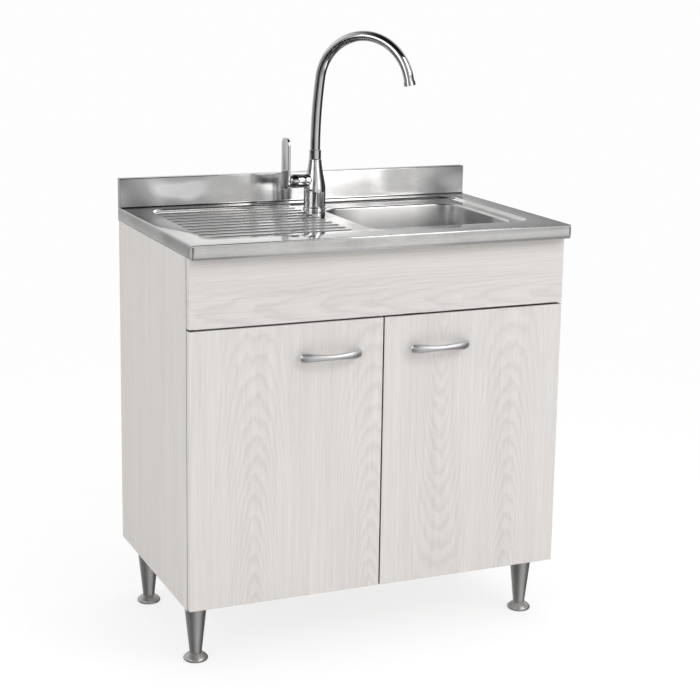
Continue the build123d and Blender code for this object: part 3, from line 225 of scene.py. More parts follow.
def metal(name, dark, light, roughness, grain_mm, grain_axis, depth, spread=0.05, waves=None, painted_shade=None):
    """Metal with a fine grain, drawn out along one axis if it has one. Sheet may have slow waves of a
    (length, depth) in mm, and soft patches of painted shade.
    """
    material, tree, shader, place = new_material(name)
    stretch = [1 / (grain_mm * MM)] * 3
    if grain_axis is not None:
        stretch[grain_axis] /= GRAIN_STRETCH
    lines = add_node(tree, "ShaderNodeMapping", {"Vector": place, "Scale": stretch}).outputs[0]
    grain = noise_of(tree, lines, 1.0, 3.0)
    cloud = noise_of(tree, place, CLOUD_RATE, 3.0)
    colour = ramp_of(tree, maths(tree, "MULTIPLY", grain, cloud), [(0.1, dark), (0.42, light)])
    # where stops are given, patches of painted shade darken the colour
    if painted_shade:
        colour = painted_shade_patches(tree, place, colour, painted_shade)
    tree.links.new(colour, shader.inputs["Base Color"])
    rough = scaled(tree, cloud, 0.3, 0.7, roughness - spread, roughness + spread)
    tree.links.new(rough, shader.inputs["Roughness"])
    normal = bumped(tree, grain, depth, 0.1)
    if waves:
        wave_length, wave_depth = waves
        slow = noise_of(tree, place, 1 / (wave_length * MM), 1.0)
        normal = bumped(tree, slow, 1.0, wave_depth, normal)
    tree.links.new(normal, shader.inputs["Normal"])
    shader.inputs["Metallic"].default_value = 1.0
    return material


# how much painted shade darkens the backsplash along its length, standing for its dark reflections: the left
# half, and a patch near the right end
SPLASH_PAINTED_SHADE = [
    (-400, "#FFFFFF"), (-230, "#D0D0D0"), (-170, "#505050"), (-110, "#505050"), (-60, "#B0B0B0"),
    (20, "#B0B0B0"), (80, "#202020"), (280, "#202020"), (335, "#E8E8E8"), (400, "#E8E8E8"),
]
# painted shade darkens the bowl towards both of its sides
BOWL_PAINTED_SHADE = [
    (-400, "#FFFFFF"), (20, "#FFFFFF"), (105, "#101010"), (225, "#101010"), (290, "#E8E8E8"),
    (400, "#E8E8E8"),
]
# Bright-rolled stainless sheet: a soft mirror, a little wavy where it was pressed and folded.
stainless_sheet = metal("stainless_sheet", "#C6C5C4", "#DEDDDC", 0.10, 0.5, X, 0.004, 0.025, (180, 1.6))
# The same sheet on the tall, thin backsplash, which took deeper waves when it was folded, with patches of
# painted shade for its dark reflections.
stainless_wavy_painted_shade = metal(
    "stainless_sheet_wavy_painted_shade", "#C6C5C4", "#DEDDDC", 0.14, 0.5, X, 0.004, 0.02, (150, 5), SPLASH_PAINTED_SHADE
)
# Satin stainless of the drawn bowl: blurred reflections, some light scattered by its fine scratches, and
# painted shade towards both sides.
stainless_bowl_painted_shade = metal("stainless_satin_painted_shade", "#E8E7E6", "#FAF9F8", 0.38, 0.5, None, 0.01, painted_shade=BOWL_PAINTED_SHADE)
stainless_bowl_painted_shade.node_tree.nodes["Principled BSDF"].inputs["Metallic"].default_value = 0.9
# Polished stainless of the strainer and its flange.
stainless_polished = metal("stainless_polished", "#BDBDBC", "#DCDCDB", 0.12, 0.4, None, 0.03)
# Bright chrome plating: a nearly perfect mirror with the faintest haze.
chrome_plating = metal("chrome_plating", "#D2D2D4", "#E0E0E2", 0.04, 3.0, None, 0.002, 0.015)
# Satin nickel on the cast handles: soft metal with a fine bead-blasted grit.
satin_nickel = metal("satin_nickel", "#DEDEDF", "#F2F2F3", 0.42, 0.35, None, 0.02, 0.03)
# Satin metallised coating of the legs: darker grey with fine lengthwise streaks.
satin_leg = metal("satin_metallised_leg", "#C9C8C7", "#DEDDDC", 0.52, 0.7, Z, 0.01, 0.03)
# The same coating on the moulded feet, smoother and without streaks.
satin_foot = metal("satin_metallised_foot", "#BDBCBB", "#D6D5D4", 0.42, 0.6, None, 0.01, 0.03)
# Zinc-plated steel of the screws, cams and hinges.
zinc_plated = metal("zinc_plated_steel", "#9A9C9E", "#C4C6C8", 0.30, 1.2, None, 0.08)
# Turned brass of the threaded parts.
brass_turned = metal("turned_brass", "#B08D4A", "#D6B46C", 0.24, 0.5, None, 0.06)


# -------------------------------- bleached elm melamine
ELM_LIGHT, ELM_DARK = "#E7E4E1", "#D0CBC8"
RING_PITCH = 6.4
ARCH_ROUNDNESS = 42
ARCH_REACH = 62
# how far the figure sways to each side, and how far a ring wavers from its course
SWAY, WAVER = 15, 3.75
# how dark a ring is from its start to its end: soft early wood, then a late-wood line
RING_SHADE = [(0, 0), (0.30, 0.25), (0.72, 1), (1, 0.15)]
# the part of a ring's line that stays where the arches have faded out
RING_REST = 0.25
# what each figure adds to the decor's darkness
ARCH_SHARE, PORE_SHARE, STRAND_SHARE, BROAD_SHARE = 0.20, 0.46, 0.42, 0.24


def ring_lines(tree, place, noise, grain, across, columns, middle, slope):
    """The year rings' darkness: arches stacked over the middle of each column, fading into straight grain."""

    def sums(*values):
        return maths(tree, "ADD", *values)

    def product(*values):
        return maths(tree, "MULTIPLY", *values)

    def blend(*values):
        return maths(tree, "MULTIPLY_ADD", *values)

    split = add_node(tree, "ShaderNodeSeparateXYZ", {"Vector": place})
    along = sums(split.outputs[grain], -middle * MM)
    # the trunk is never straight: the whole figure sways, and each ring wavers a little
    sway = blend(noise(90, 260, 1.0), 2 * SWAY * MM, -SWAY * MM)
    waver = blend(noise(14, 38, 2.0), 2 * WAVER * MM, -WAVER * MM)
    side = sums(split.outputs[across], sway)
    (centre, direction), *others = columns
    distance = maths(tree, "ABSOLUTE", sums(side, -centre * MM))
    lean = direction * slope
    for centre, direction in others:
        from_centre = maths(tree, "ABSOLUTE", sums(side, -centre * MM))
        nearer = maths(tree, "LESS_THAN", from_centre, distance)
        change = blend(lean, -1.0, direction * slope)
        lean = blend(nearer, change, lean)
        distance = maths(tree, "MINIMUM", from_centre, distance)
    squared = product(distance, distance)
    fade = maths(tree, "EXPONENT", product(squared, -1 / (ARCH_REACH * MM) ** 2))
    bowed = maths(tree, "SQRT", sums(squared, (ARCH_ROUNDNESS * MM) ** 2))
    raised = product(product(along, lean), fade)
    rings = product(sums(sums(bowed, raised), waver), 1 / (RING_PITCH * MM))
    late = add_node(tree, "ShaderNodeValToRGB", {"Fac": maths(tree, "FRACT", rings)})
    late.color_ramp.interpolation = "EASE"
    for stop, (at, shade) in enumerate(RING_SHADE[:1] + RING_SHADE[-1:]):
        late.color_ramp.elements[stop].position = at
        late.color_ramp.elements[stop].color = (shade, shade, shade, 1)
    for at, shade in RING_SHADE[1:-1]:
        late.color_ramp.elements.new(at).color = (shade, shade, shade, 1)
    line = late.outputs["Color"]
    return blend(product(fade, line), 1 - RING_REST, product(line, RING_REST))


def elm(name, grain, across, columns, middle, slope=0.16, seed=0.0):
    """Melamine board with a printed bleached-elm decor: columns of arches between straight-grained strips.

    Sizes are in mm. Each column is (place across the board, 1 for arches that point up the grain or -1).
    """
    material, tree, shader, place = new_material(name)

    def noise(across_mm, along_mm, detail):
        """Noise whose features have the given sizes across and along the grain."""
        scale = [1 / (across_mm * MM)] * 3
        scale[grain] = 1 / (along_mm * MM)
        moved = add_node(tree, "ShaderNodeMapping", {"Vector": place, "Scale": scale}).outputs[0]
        return noise_of(tree, moved, 1.0, detail, {"W": seed}, noise_dimensions="4D")

    arches = ring_lines(tree, place, noise, grain, across, columns, middle, slope)
    pores = noise(0.9, 55, 4.0)
    tone = maths(tree, "MULTIPLY_ADD", arches, ARCH_SHARE, maths(tree, "MULTIPLY", pores, PORE_SHARE))
    for figure, share in ((noise(5, 190, 2.0), STRAND_SHARE), (noise(34, 700, 1.0), BROAD_SHARE)):
        tone = maths(tree, "ADD", tone, maths(tree, "MULTIPLY", figure, share))
    colour = ramp_of(tree, tone, [(0.36, ELM_LIGHT), (0.90, ELM_DARK)])
    tree.links.new(colour, shader.inputs["Base Color"])
    tree.links.new(bumped(tree, pores, 0.15, 0.1), shader.inputs["Normal"])
    shader.inputs["Roughness"].default_value = 0.5
    shader.inputs["Specular IOR Level"].default_value = 0.3
    return material


elm_left_door = elm("elm_melamine_left_door", Z, X, [(-268, 1), (-20, 1)], 420, seed=0.3)
elm_right_door = elm("elm_melamine_right_door", Z, X, [(286, 1), (128, -1)], 400, seed=4.1)
elm_fascia = elm("elm_melamine_fascia", X, Z, [(712, -1)], 0, slope=0.055, seed=7.7)
elm_side = elm("elm_melamine_side", Z, Y, [(330, 1), (-330, -1)], 430, slope=0.1, seed=2.2)
elm_level = elm("elm_melamine_level_board", X, Y, [(60, 1)], 0, slope=0.1, seed=5.2)


def painted_gap_shade_material():
    """Thin band on the board edges inside the gaps: plain, and darker than the boards, as painted shade for
    the shadow in the gaps.
    """
    material, tree, shader, place = new_material("elm_edge_painted_gap_shade")
    mottle = noise_of(tree, place, 1 / (8 * MM), 2.0)
    colour = ramp_of(tree, mottle, [(0.3, "#7A746F"), (0.7, "#88827D")])
    tree.links.new(colour, shader.inputs["Base Color"])
    shader.inputs["Roughness"].default_value = 0.5
    return material


painted_gap_shade = painted_gap_shade_material()


# -------------------------------- plastics, rubber, fibreboard
PEEL_SIZE = 1.6
GLOSS_SPREAD = 0.06


def moulded(name, dark, light, roughness):
    """Injection-moulded plastic or rubber: nearly even, with a slight orange peel and cloudy gloss."""
    material, tree, shader, place = new_material(name)
    cloud = noise_of(tree, place, 30.0, 3.0)
    tree.links.new(ramp_of(tree, cloud, [(0.3, dark), (0.7, light)]), shader.inputs["Base Color"])
    rough = scaled(tree, cloud, 0.0, 1.0, roughness - GLOSS_SPREAD, roughness + GLOSS_SPREAD)
    tree.links.new(rough, shader.inputs["Roughness"])
    peel = noise_of(tree, place, 1 / (PEEL_SIZE * MM), 2.0)
    tree.links.new(bumped(tree, peel, 0.08, 0.2), shader.inputs["Normal"])
    return material


# Polypropylene of the waste trap, nitrile rubber, clear soft bumpers, and the cartridge's hard housing.
white_polypropylene = moulded("white_polypropylene", "#E4E4E2", "#EFEFED", 0.38)
black_rubber = moulded("black_rubber", "#191919", "#262626", 0.72)
clear_bumper = moulded("translucent_bumper", "#D5D5D2", "#E6E6E3", 0.3)
cartridge_housing = moulded("cartridge_housing", "#D9D7D0", "#E8E6DF", 0.4)


def fibreboard():
    """Thin hardboard: brown pressed fibres, smooth on the show side."""
    material, tree, shader, place = new_material("brown_hardboard")
    fibres = noise_of(tree, place, 700.0, 5.0, {"Distortion": 1.5})
    colour = ramp_of(tree, fibres, [(0.3, "#6E4F36"), (0.7, "#8E6B4A")])
    tree.links.new(colour, shader.inputs["Base Color"])
    tree.links.new(bumped(tree, fibres, 0.2, 0.3), shader.inputs["Normal"])
    shader.inputs["Roughness"].default_value = 0.6
    return material


brown_hardboard = fibreboard()

# -------------------------------- finishes of the CAD nodes
FINISHES = {
    "elm_board": elm_level,
    "hardboard": brown_hardboard,
    "steel_sheet": stainless_sheet,
    "steel_bowl": stainless_bowl_painted_shade,
    "polished_steel": stainless_polished,
    "chrome_plate": chrome_plating,
    "brass": brass_turned,
    "cartridge_ceramic": cartridge_housing,
    "rubber": black_rubber,
    "clear_bumper": clear_bumper,
    "white_plastic": white_polypropylene,
    "leg_metal": satin_leg,
    "foot_plastic": satin_foot,
    "zinc_fittings": zinc_plated,
    "satin_nickel": satin_nickel,
}
BOARDS = {
    "door_left": elm_left_door,
    "door_right": elm_right_door,
    "fascia_panel": elm_fascia,
    "side_panel_left": elm_side,
    "side_panel_right": elm_side,
}
# board edges that only show in the gaps, by the directions that they face; they get the darker band of
# painted gap shade
GAP_EDGES = {
    "door_left": [(1, 0, 0), (0, 0, 1)],
    "door_right": [(-1, 0, 0), (0, 0, 1)],
    "fascia_panel": [(0, 0, -1)],
    "side_panel_left": [(0, -1, 0)],
    "side_panel_right": [(0, -1, 0)],
}


def finish_nodes():
    """Every CAD node gets the finish of its slot, and the boards their own run of the decor."""
    slots = {entry["node"]: entry["material_slot"] for entry in frame["record"]["subparts"]}
    for name, node in frame["nodes"].items():
        node.data.materials.clear()
        node.data.materials.append(BOARDS.get(name, FINISHES[slots[name]]))
    # the board edges inside the gaps are painted darker, as painted shade for the shadow in the gaps
    for name, facings in GAP_EDGES.items():
        mesh = frame["nodes"][name].data
        mesh.materials.append(painted_gap_shade)
        for face in mesh.polygons:
            if any(face.normal.dot(Vector(facing)) > 0.9 for facing in facings):
                face.material_index = 1


finish_nodes()


# -------------------------------- modelling helpers
# how close a place counts as reached, and after a long run of small steps
SLACK, LOOSE = 0.02 * MM, 0.5 * MM


def take(piece):
    """Selects this piece alone and makes it the active one."""
    bpy.ops.object.select_all(action="DESELECT")
    piece.select_set(True)
    bpy.context.view_layer.objects.active = piece


def begin(name, kind, **settings):
    """Adds a primitive at its place, with its place in its mesh, and opens it for editing."""
    bpy.ops.object.select_all(action="DESELECT")
    getattr(bpy.ops.mesh, f"primitive_{kind}_add")(**settings)
    piece = bpy.context.active_object
    piece.name = name
    bpy.ops.object.transform_apply(location=True, rotation=True, scale=True)
    bpy.ops.object.mode_set(mode="EDIT")
    bpy.ops.mesh.select_all(action="SELECT")
    return piece


def begin_empty(name):
    """Opens a piece that has nothing in its mesh yet."""
    piece = begin(name, "plane", size=1)
    bpy.ops.mesh.delete(type="VERT")
    return piece


def begin_block(name, middle, size):
    """Opens a block of the given size around its middle."""
    block = begin(name, "cube", size=1, location=middle)
    bpy.ops.transform.resize(value=size, center_override=middle)
    return block


def add_rectangle(left, right, front, back, height):
    """In edit mode: a level rectangle, left selected."""
    middle = ((left + right) / 2, (front + back) / 2, height)
    bpy.ops.mesh.select_all(action="DESELECT")
    bpy.ops.mesh.primitive_plane_add(size=1, location=middle)
    bpy.ops.transform.resize(value=(right - left, back - front, 1), center_override=middle)


def round_corners(radius, segments=12):
    """Rounds the corners of the rectangle just added and selects all of it."""
    bpy.ops.mesh.bevel(offset=radius, segments=segments, affect="VERTICES")
    bpy.ops.mesh.select_linked()
    bpy.ops.mesh.remove_doubles(threshold=0.05 * MM)


def step_in(steps):
    """Insets the selected face by (width, rise) steps in mm, one after another."""
    for width, rise in steps:
        bpy.ops.mesh.inset(thickness=width * MM, depth=rise * MM)


def pick(piece, kind, test):
    """In edit mode: selects the vertices or edges whose middle passes the test."""
    bpy.ops.mesh.select_mode(type={"verts": "VERT", "edges": "EDGE"}[kind])
    bpy.ops.mesh.select_all(action="DESELECT")
    mesh = bmesh.from_edit_mesh(piece.data)
    for part in getattr(mesh, kind):
        middle = part.co if kind == "verts" else (part.verts[0].co + part.verts[1].co) / 2
        if test(middle, part):
            part.select_set(True)
    mesh.select_flush_mode()
    bmesh.update_edit_mesh(piece.data)


def near(value, target, tolerance=SLACK):
    return abs(value - target) < tolerance


def is_open(edge):
    """Whether an edge is the rim of a sheet or stands alone."""
    return len(edge.link_faces) < 2


def extrude(step):
    """In edit mode: extrudes what is selected by a step."""
    bpy.ops.mesh.extrude_region_move(TRANSFORM_OT_translate={"value": step})


def fold(points):
    """Extrudes what is selected along a line of places."""
    for start, end in zip(points, points[1:]):
        extrude(Vector(end) - Vector(start))


def close_solid(piece):
    """Leaves edit mode with every face turned outward."""
    bpy.ops.mesh.select_all(action="SELECT")
    bpy.ops.mesh.normals_make_consistent(inside=False)
    bpy.ops.object.mode_set(mode="OBJECT")
    return piece


def close_sheet(piece):
    """Leaves edit mode with each sheet's faces turned one way, and its level ones up."""
    bpy.ops.mesh.select_all(action="SELECT")
    bpy.ops.mesh.normals_make_consistent(inside=False)
    turn_faces_up(piece)
    bpy.ops.object.mode_set(mode="OBJECT")


def turn_faces_up(piece):
    """In edit mode: turns each island whose level faces look down."""
    mesh = bmesh.from_edit_mesh(piece.data)
    left = set(mesh.faces)
    while left:
        queue = [left.pop()]
        island = []
        while queue:
            face = queue.pop()
            island.append(face)
            for other in (other for edge in face.edges for other in edge.link_faces if other in left):
                left.discard(other)
                queue.append(other)
        if sum(face.normal.z * face.calc_area() for face in island) < 0:
            for face in island:
                face.normal_flip()
    bmesh.update_edit_mesh(piece.data)


def arc(centre, radius, start, end, steps):
    """Places along an arc in a flat (u, v) plane, angles in degrees."""
    angles = [math.radians(start + (end - start) * i / steps) for i in range(steps + 1)]
    return [(centre[0] + radius * math.cos(a), centre[1] + radius * math.sin(a)) for a in angles]


def lathe(name, outline, centre, axis=(0, 0, 1), radial=(1, 0, 0), steps=48):
    """Turns an outline of (radius, height) points in mm around an axis through the centre."""
    centre, axis, radial = Vector(centre), Vector(axis), Vector(radial)
    places = [centre + radial * r * MM + axis * h * MM for r, h in outline]
    piece = begin(name, "plane", size=1)
    bpy.ops.mesh.select_mode(type="VERT")
    bpy.ops.mesh.merge(type="CENTER")
    bpy.ops.mesh.select_all(action="SELECT")
    bpy.ops.transform.translate(value=places[0])
    fold(places)
    bpy.ops.mesh.select_all(action="SELECT")
    bpy.ops.mesh.spin(steps=steps, angle=2 * math.pi, center=centre, axis=axis)
    merge_doubles()
    return close_solid(piece)


def merge_doubles():
    """In edit mode: merges the points that lie on each other."""
    bpy.ops.mesh.select_all(action="SELECT")
    bpy.ops.mesh.remove_doubles(threshold=0.001 * MM)


def shape_with(piece, kind, **settings):
    """Adds a modifier and applies it."""
    take(piece)
    modifier = piece.modifiers.new(kind.lower(), kind)
    for key, value in settings.items():
        setattr(modifier, key, value)
    bpy.ops.object.modifier_apply(modifier=modifier.name)


def soften(piece, width, segments=3, angle=40):
    """Rounds every edge sharper than the angle; the width is in mm."""
    limit = math.radians(angle)
    shape_with(piece, "BEVEL", width=width * MM, segments=segments, limit_method="ANGLE", angle_limit=limit)


def thicken(piece):
    """Gives a surface the thickness of the steel sheet, on its lower side."""
    shape_with(piece, "SOLIDIFY", thickness=SHEET, offset=-1)


def cut(piece, tool, operation="DIFFERENCE"):
    """Boolean with a tool piece, which is then removed."""
    shape_with(piece, "BOOLEAN", object=tool, operation=operation, solver="EXACT")
    bpy.data.objects.remove(tool)


def join(piece, other):
    """Puts another piece's mesh into this one."""
    take(piece)
    other.select_set(True)
    bpy.ops.object.join()


def finish_piece(piece, finish, body, node, sharp=35):
    """Gives a piece its material and smooth shading, fixes it to its body, and hides the CAD node that it
    takes the place of.
    """
    piece.data.materials.clear()
    piece.data.materials.append(finish)
    take(piece)
    bpy.ops.object.shade_smooth_by_angle(angle=math.radians(sharp))
    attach(piece, body)
    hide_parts(node)


def second_finish(piece, finish, above):
    """Gives the faces above a height another finish."""
    piece.data.materials.append(finish)
    for face in piece.data.polygons:
        if face.center.z > above:
            face.material_index = 1


# -------------------------------- pressed steel worktop
SHEET = 1.0 * MM
FOLD = 2.0 * MM
# how far the lip's face lies in from its fullest line, and how far below the fold
LIP_BOW = [(-0.25, 2), (-0.1, 5), (0, 9), (0, 14), (-0.12, 19), (-0.35, 23), (-0.6, 26)]
SPLASH_FACE = BACK - 20 * MM
SPLASH_ROOT = 3 * MM
# the hair's breadth by which the backsplash's root lies over the deck
SPLASH_LIFT = 0.05 * MM
RECESS = {
    "left": LEFT + 48 * MM,
    "right": RIGHT - 48 * MM,
    "front": FRONT + 70 * MM,
    "back": SPLASH_FACE - 32 * MM,
}
RECESS_FLOOR = DECK - RECESS_DEPTH
RECESS_CORNER = 38 * MM
RECESS_WALL = [(1.1, -0.1), (1.4, -0.6), (1.5, -1.3), (1.5, -1.3), (1.4, -0.6), (1.1, -0.1)]
RIB_WALL = [(0.8, 0.04), (1.0, 0.42), (1.1, 0.75), (1.1, 0.68), (1.1, 0.36), (0.9, 0.13)]
RIBS = 11
RIB_PITCH = 33.6 * MM
RIB_HALF_WIDTH = 7 * MM
FIRST_RIB = FRONT + 98 * MM
RIB_LEFT = RECESS["left"] + 1 * MM
RIB_RIGHT = -36 * MM
# a corner this share of a half circle leaves a short straight, so that the corners never meet
FULL_ROUND = 0.999
TAP_HOLE = 17.5 * MM
CUT_REACH = 5 * MM
# the slit, with the steel left under and over it, and the seam of the folded tab
SLIT_WIDTH, SLIT_DEPTH = 3.2 * MM, 6 * MM
SLIT_LANDS = (5 * MM, 4 * MM)
TAB_LENGTH = 44 * MM
SEAM, SEAM_STRETCH = 1.1 * MM, 1.04
BOWL_FLANGE = 6 * MM
BOWL_CORNER = 44 * MM
BOWL_DEPTH = 150
BOWL_SLOPE = math.tan(math.radians(3))
# the rolled rim's radius, how far it runs under the flange, and how deep its bright edge reaches
RIM_ROLL, RIM_OVERLAP, RIM_DEPTH = 5, 2.25, 2.5 * MM
BOWL_FLOOR_RADIUS = 30
WASTE_HOLE = 42.5 * MM


def rib_solids(drop):
    """The drainer's ribs as low rounded ridges with full ends, standing in the recess floor."""
    ribs = begin_empty("ribs")
    for number in range(RIBS):
        middle = FIRST_RIB + number * RIB_PITCH
        root = RECESS_FLOOR - SHEET / 2 - drop
        add_rectangle(RIB_LEFT, RIB_RIGHT, middle - RIB_HALF_WIDTH, middle + RIB_HALF_WIDTH, root)
        round_corners(RIB_HALF_WIDTH * FULL_ROUND, 8)
        extrude((0, 0, SHEET / 2))
        step_in(RIB_WALL)
    return close_solid(ribs)


def opening_solid(left, right, front, back, corner):
    """A rounded block through the deck, for cutting an opening."""
    block = begin_empty("opening")
    add_rectangle(left, right, front, back, RECESS_FLOOR - CUT_REACH)
    round_corners(corner, 16)
    extrude((0, 0, 2 * CUT_REACH))
    return close_solid(block)


def pressed_deck():
    """Deck with its recess, ribs and openings, and the lips folded down on three sides."""
    deck = begin_empty("worktop_sheet")
    add_rectangle(RECESS["left"], RECESS["right"], RECESS["front"], RECESS["back"], DECK)
    round_corners(RECESS_CORNER)
    step_in(RECESS_WALL)
    # the rim around the recess
    back = BACK - SHEET
    add_rectangle(LEFT + FOLD, RIGHT - FOLD, FRONT + FOLD, back, DECK)
    bpy.ops.mesh.delete(type="ONLY_FACE")
    pick(deck, "edges", lambda m, e: near(m.z, DECK) and is_open(e))
    bpy.ops.mesh.fill()
    # rounded folds and lips on three sides, mitred at the corners
    pick(deck, "edges", lambda m, e: near(m.z, DECK) and is_open(e) and not near(m.y, back))
    half, depth = (RIGHT - LEFT) / 2, back - FRONT
    ring = arc((0, 0), FOLD, 90, 12, 5) + [(FOLD + out * MM, -drop * MM) for out, drop in LIP_BOW]
    for (out, up), (next_out, next_up) in zip(ring, ring[1:]):
        extrude((0, 0, next_up - up))
        wider = (half - FOLD + next_out) / (half - FOLD + out)
        deeper = (depth - FOLD + next_out) / (depth - FOLD + out)
        bpy.ops.transform.resize(value=(wider, deeper, 1), center_override=(LEFT + half, back, 0))
    close_sheet(deck)
    soften(deck, 1.5, 3, 60)
    thicken(deck)
    cut(deck, rib_solids(0), "UNION")
    cut(deck, rib_solids(SHEET))
    low, high = low_of("bowl"), high_of("bowl")
    cut(deck, opening_solid(low.x, high.x, low.y, high.y, BOWL_CORNER + BOWL_FLANGE))
    left, right, front, back = TAP_X - TAP_HOLE, TAP_X + TAP_HOLE, TAP_Y - TAP_HOLE, TAP_Y + TAP_HOLE
    cut(deck, opening_solid(left, right, front, back, TAP_HOLE * FULL_ROUND))
    open_corner_folds(deck)
    return deck


def open_corner_folds(worktop):
    """The narrow slit beside each front corner and the slanting seam of the tab folded behind it."""
    low, high = LIP_BOTTOM + SLIT_LANDS[0], DECK - SLIT_LANDS[1]
    rise = DECK - FOLD - LIP_BOTTOM
    for side, edge in ((-1, LEFT), (1, RIGHT)):
        middle = Vector((edge - side * (SHEET + SLIT_WIDTH / 2), FRONT, (low + high) / 2))
        slit = begin_block("slit", middle, (SLIT_WIDTH, SLIT_DEPTH, high - low))
        close_solid(slit)
        soften(slit, 1.1)
        cut(worktop, slit)
        middle = Vector((edge, FRONT + FOLD + TAB_LENGTH / 2, LIP_BOTTOM + rise / 2))
        seam = begin_block("seam", middle, (SHEET, SEAM, rise * SEAM_STRETCH))
        pick(seam, "verts", lambda m, v: m.z < middle.z)
        bpy.ops.transform.translate(value=(0, TAB_LENGTH, 0))
        bpy.ops.mesh.select_all(action="SELECT")
        bpy.ops.transform.translate(value=(0, -TAB_LENGTH / 2, 0))
        cut(worktop, close_solid(seam))


def folded_backsplash():
    """The hollow backsplash: a concave root, the face, over the top and down the back, with end caps."""
    splash = begin_empty("backsplash")
    foot = SPLASH_FACE - SPLASH_ROOT
    add_rectangle(LEFT, RIGHT, foot - SPLASH_ROOT, foot, DECK + SPLASH_LIFT)
    pick(splash, "edges", lambda m, e: near(m.y, foot))
    profile = arc((foot, DECK + SPLASH_ROOT + SPLASH_LIFT), SPLASH_ROOT, -90, 0, 5)
    profile += arc((SPLASH_FACE + FOLD, SPLASH_TOP - FOLD), FOLD, 180, 90, 5)
    profile += arc((BACK - FOLD, SPLASH_TOP - FOLD), FOLD, 90, 0, 5)
    profile += [(BACK, DECK), (BACK, LIP_BOTTOM)]
    fold([(0, y, z) for y, z in profile])
    for side in (LEFT, RIGHT):
        pick(splash, "verts", lambda m, v: near(m.x, side) and m.z > DECK - SLACK and m.y > foot - SLACK)
        bpy.ops.mesh.edge_face_add()
    close_sheet(splash)
    soften(splash, 0.9, 3, 60)
    thicken(splash)
    return splash


def worktop_sheet():
    """The whole pressed top in one piece of sheet."""
    worktop = pressed_deck()
    join(worktop, folded_backsplash())
    finish_piece(worktop, stainless_sheet, "carcass", "worktop", sharp=38)
    second_finish(worktop, stainless_wavy_painted_shade, DECK + MM)


def drawn_bowl():
    """The deep-drawn bowl: rolled rim, slightly sloping walls, wide floor radius, hole for the waste."""
    low, high = low_of("bowl"), high_of("bowl")
    bowl = begin_empty("drawn_bowl")
    add_rectangle(low.x, high.x, low.y, high.y, BOWL_RIM)
    round_corners(BOWL_CORNER + BOWL_FLANGE, 14)
    flat = BOWL_FLANGE / MM - RIM_OVERLAP
    path = [(0, 0)] + arc((flat, -RIM_ROLL), RIM_ROLL, 90, 3, 7)
    inward, height = path[-1]
    wall = BOWL_DEPTH + height - BOWL_FLOOR_RADIUS
    path += [(inward + wall * share * BOWL_SLOPE, height - wall * share) for share in (0.5, 1)]
    inward, height = path[-1]
    path += arc((inward + BOWL_FLOOR_RADIUS, height), BOWL_FLOOR_RADIUS, 180, 270, 9)[1:]
    step_in([(b[0] - a[0], b[1] - a[1]) for a, b in zip(path, path[1:])])
    bpy.ops.mesh.delete(type="ONLY_FACE")
    floor = BOWL_RIM - BOWL_DEPTH * MM
    bpy.ops.mesh.primitive_circle_add(vertices=64, radius=WASTE_HOLE, location=(BOWL_X, BOWL_Y, floor))
    pick(bowl, "edges", lambda m, e: near(m.z, floor, LOOSE) and is_open(e))
    bpy.ops.mesh.fill()
    close_sheet(bowl)
    thicken(bowl)
    finish_piece(bowl, stainless_bowl_painted_shade, "carcass", "bowl", sharp=38)
    second_finish(bowl, stainless_sheet, BOWL_RIM - RIM_DEPTH)


worktop_sheet()
drawn_bowl()

# -------------------------------- mixer tap
BODY_RADIUS = 23.3
WAIST_RADIUS = 13.6
BODY_STRAIGHT = 34
BODY_HEIGHT = 103
SHANK_RADIUS, SHANK_ROOT, SHANK_END = 16.5, 15.8, -38
BARREL_RADIUS = 15
BARREL_RISE = 57
BARREL_LENGTH = 26
CAP_GAP = 0.3
CASTING_GRAIN = 0.75 * MM
LEVER_THICKNESS, LEVER_WIDTH = 6 * MM, 40 * MM
LEVER_TOP_ROUND, LEVER_FOOT_ROUND = 15 * MM, 18 * MM
# the spout's line: a straight riser, a slight lean on a wide radius, the bow and a straight tail
SPOUT_TURN = math.radians(-50)
SPOUT_RADIUS = 10.5 * MM
SPOUT_WALL = 1.5 * MM
RISER_FOOT, RISER_TOP = (BODY_HEIGHT - 20) * MM, 125 * MM
LEAN, LEAN_RADIUS = math.radians(7.8), 1100 * MM
BOW, BOW_RADIUS = math.radians(160.2), 103 * MM
TAIL = 11 * MM


def shoulder(start, end, steps=14):
    """An S-shaped run of (radius, height) points from a wide cylinder to a narrow neck."""
    points = []
    for i in range(1, steps + 1):
        t = i / steps
        eased = t * t * (3 - 2 * t)
        points.append((start[0] + (end[0] - start[0]) * eased, start[1] + (end[1] - start[1]) * t))
    return points


def thread(crest, root, start, pitch, turns):
    """The ridges of a thread as (radius, height) points; they run down where the pitch is negative."""
    points = []
    for turn in range(turns):
        points += [(crest, start + turn * pitch), (root, start + (turn + 0.5) * pitch)]
    return points


def tap_base_ring():
    """The plated ring that the body stands on."""
    outline = [(16.5, 0), (24.5, 0), (24.5, 3.2), (23.6, 4), (16.5, 4), (16.5, 0)]
    ring = lathe("tap_base_ring", outline, (TAP_X, TAP_Y, RECESS_FLOOR), steps=72)
    soften(ring, 0.35, 2)
    finish_piece(ring, chrome_plating, "carcass", "tap_base")


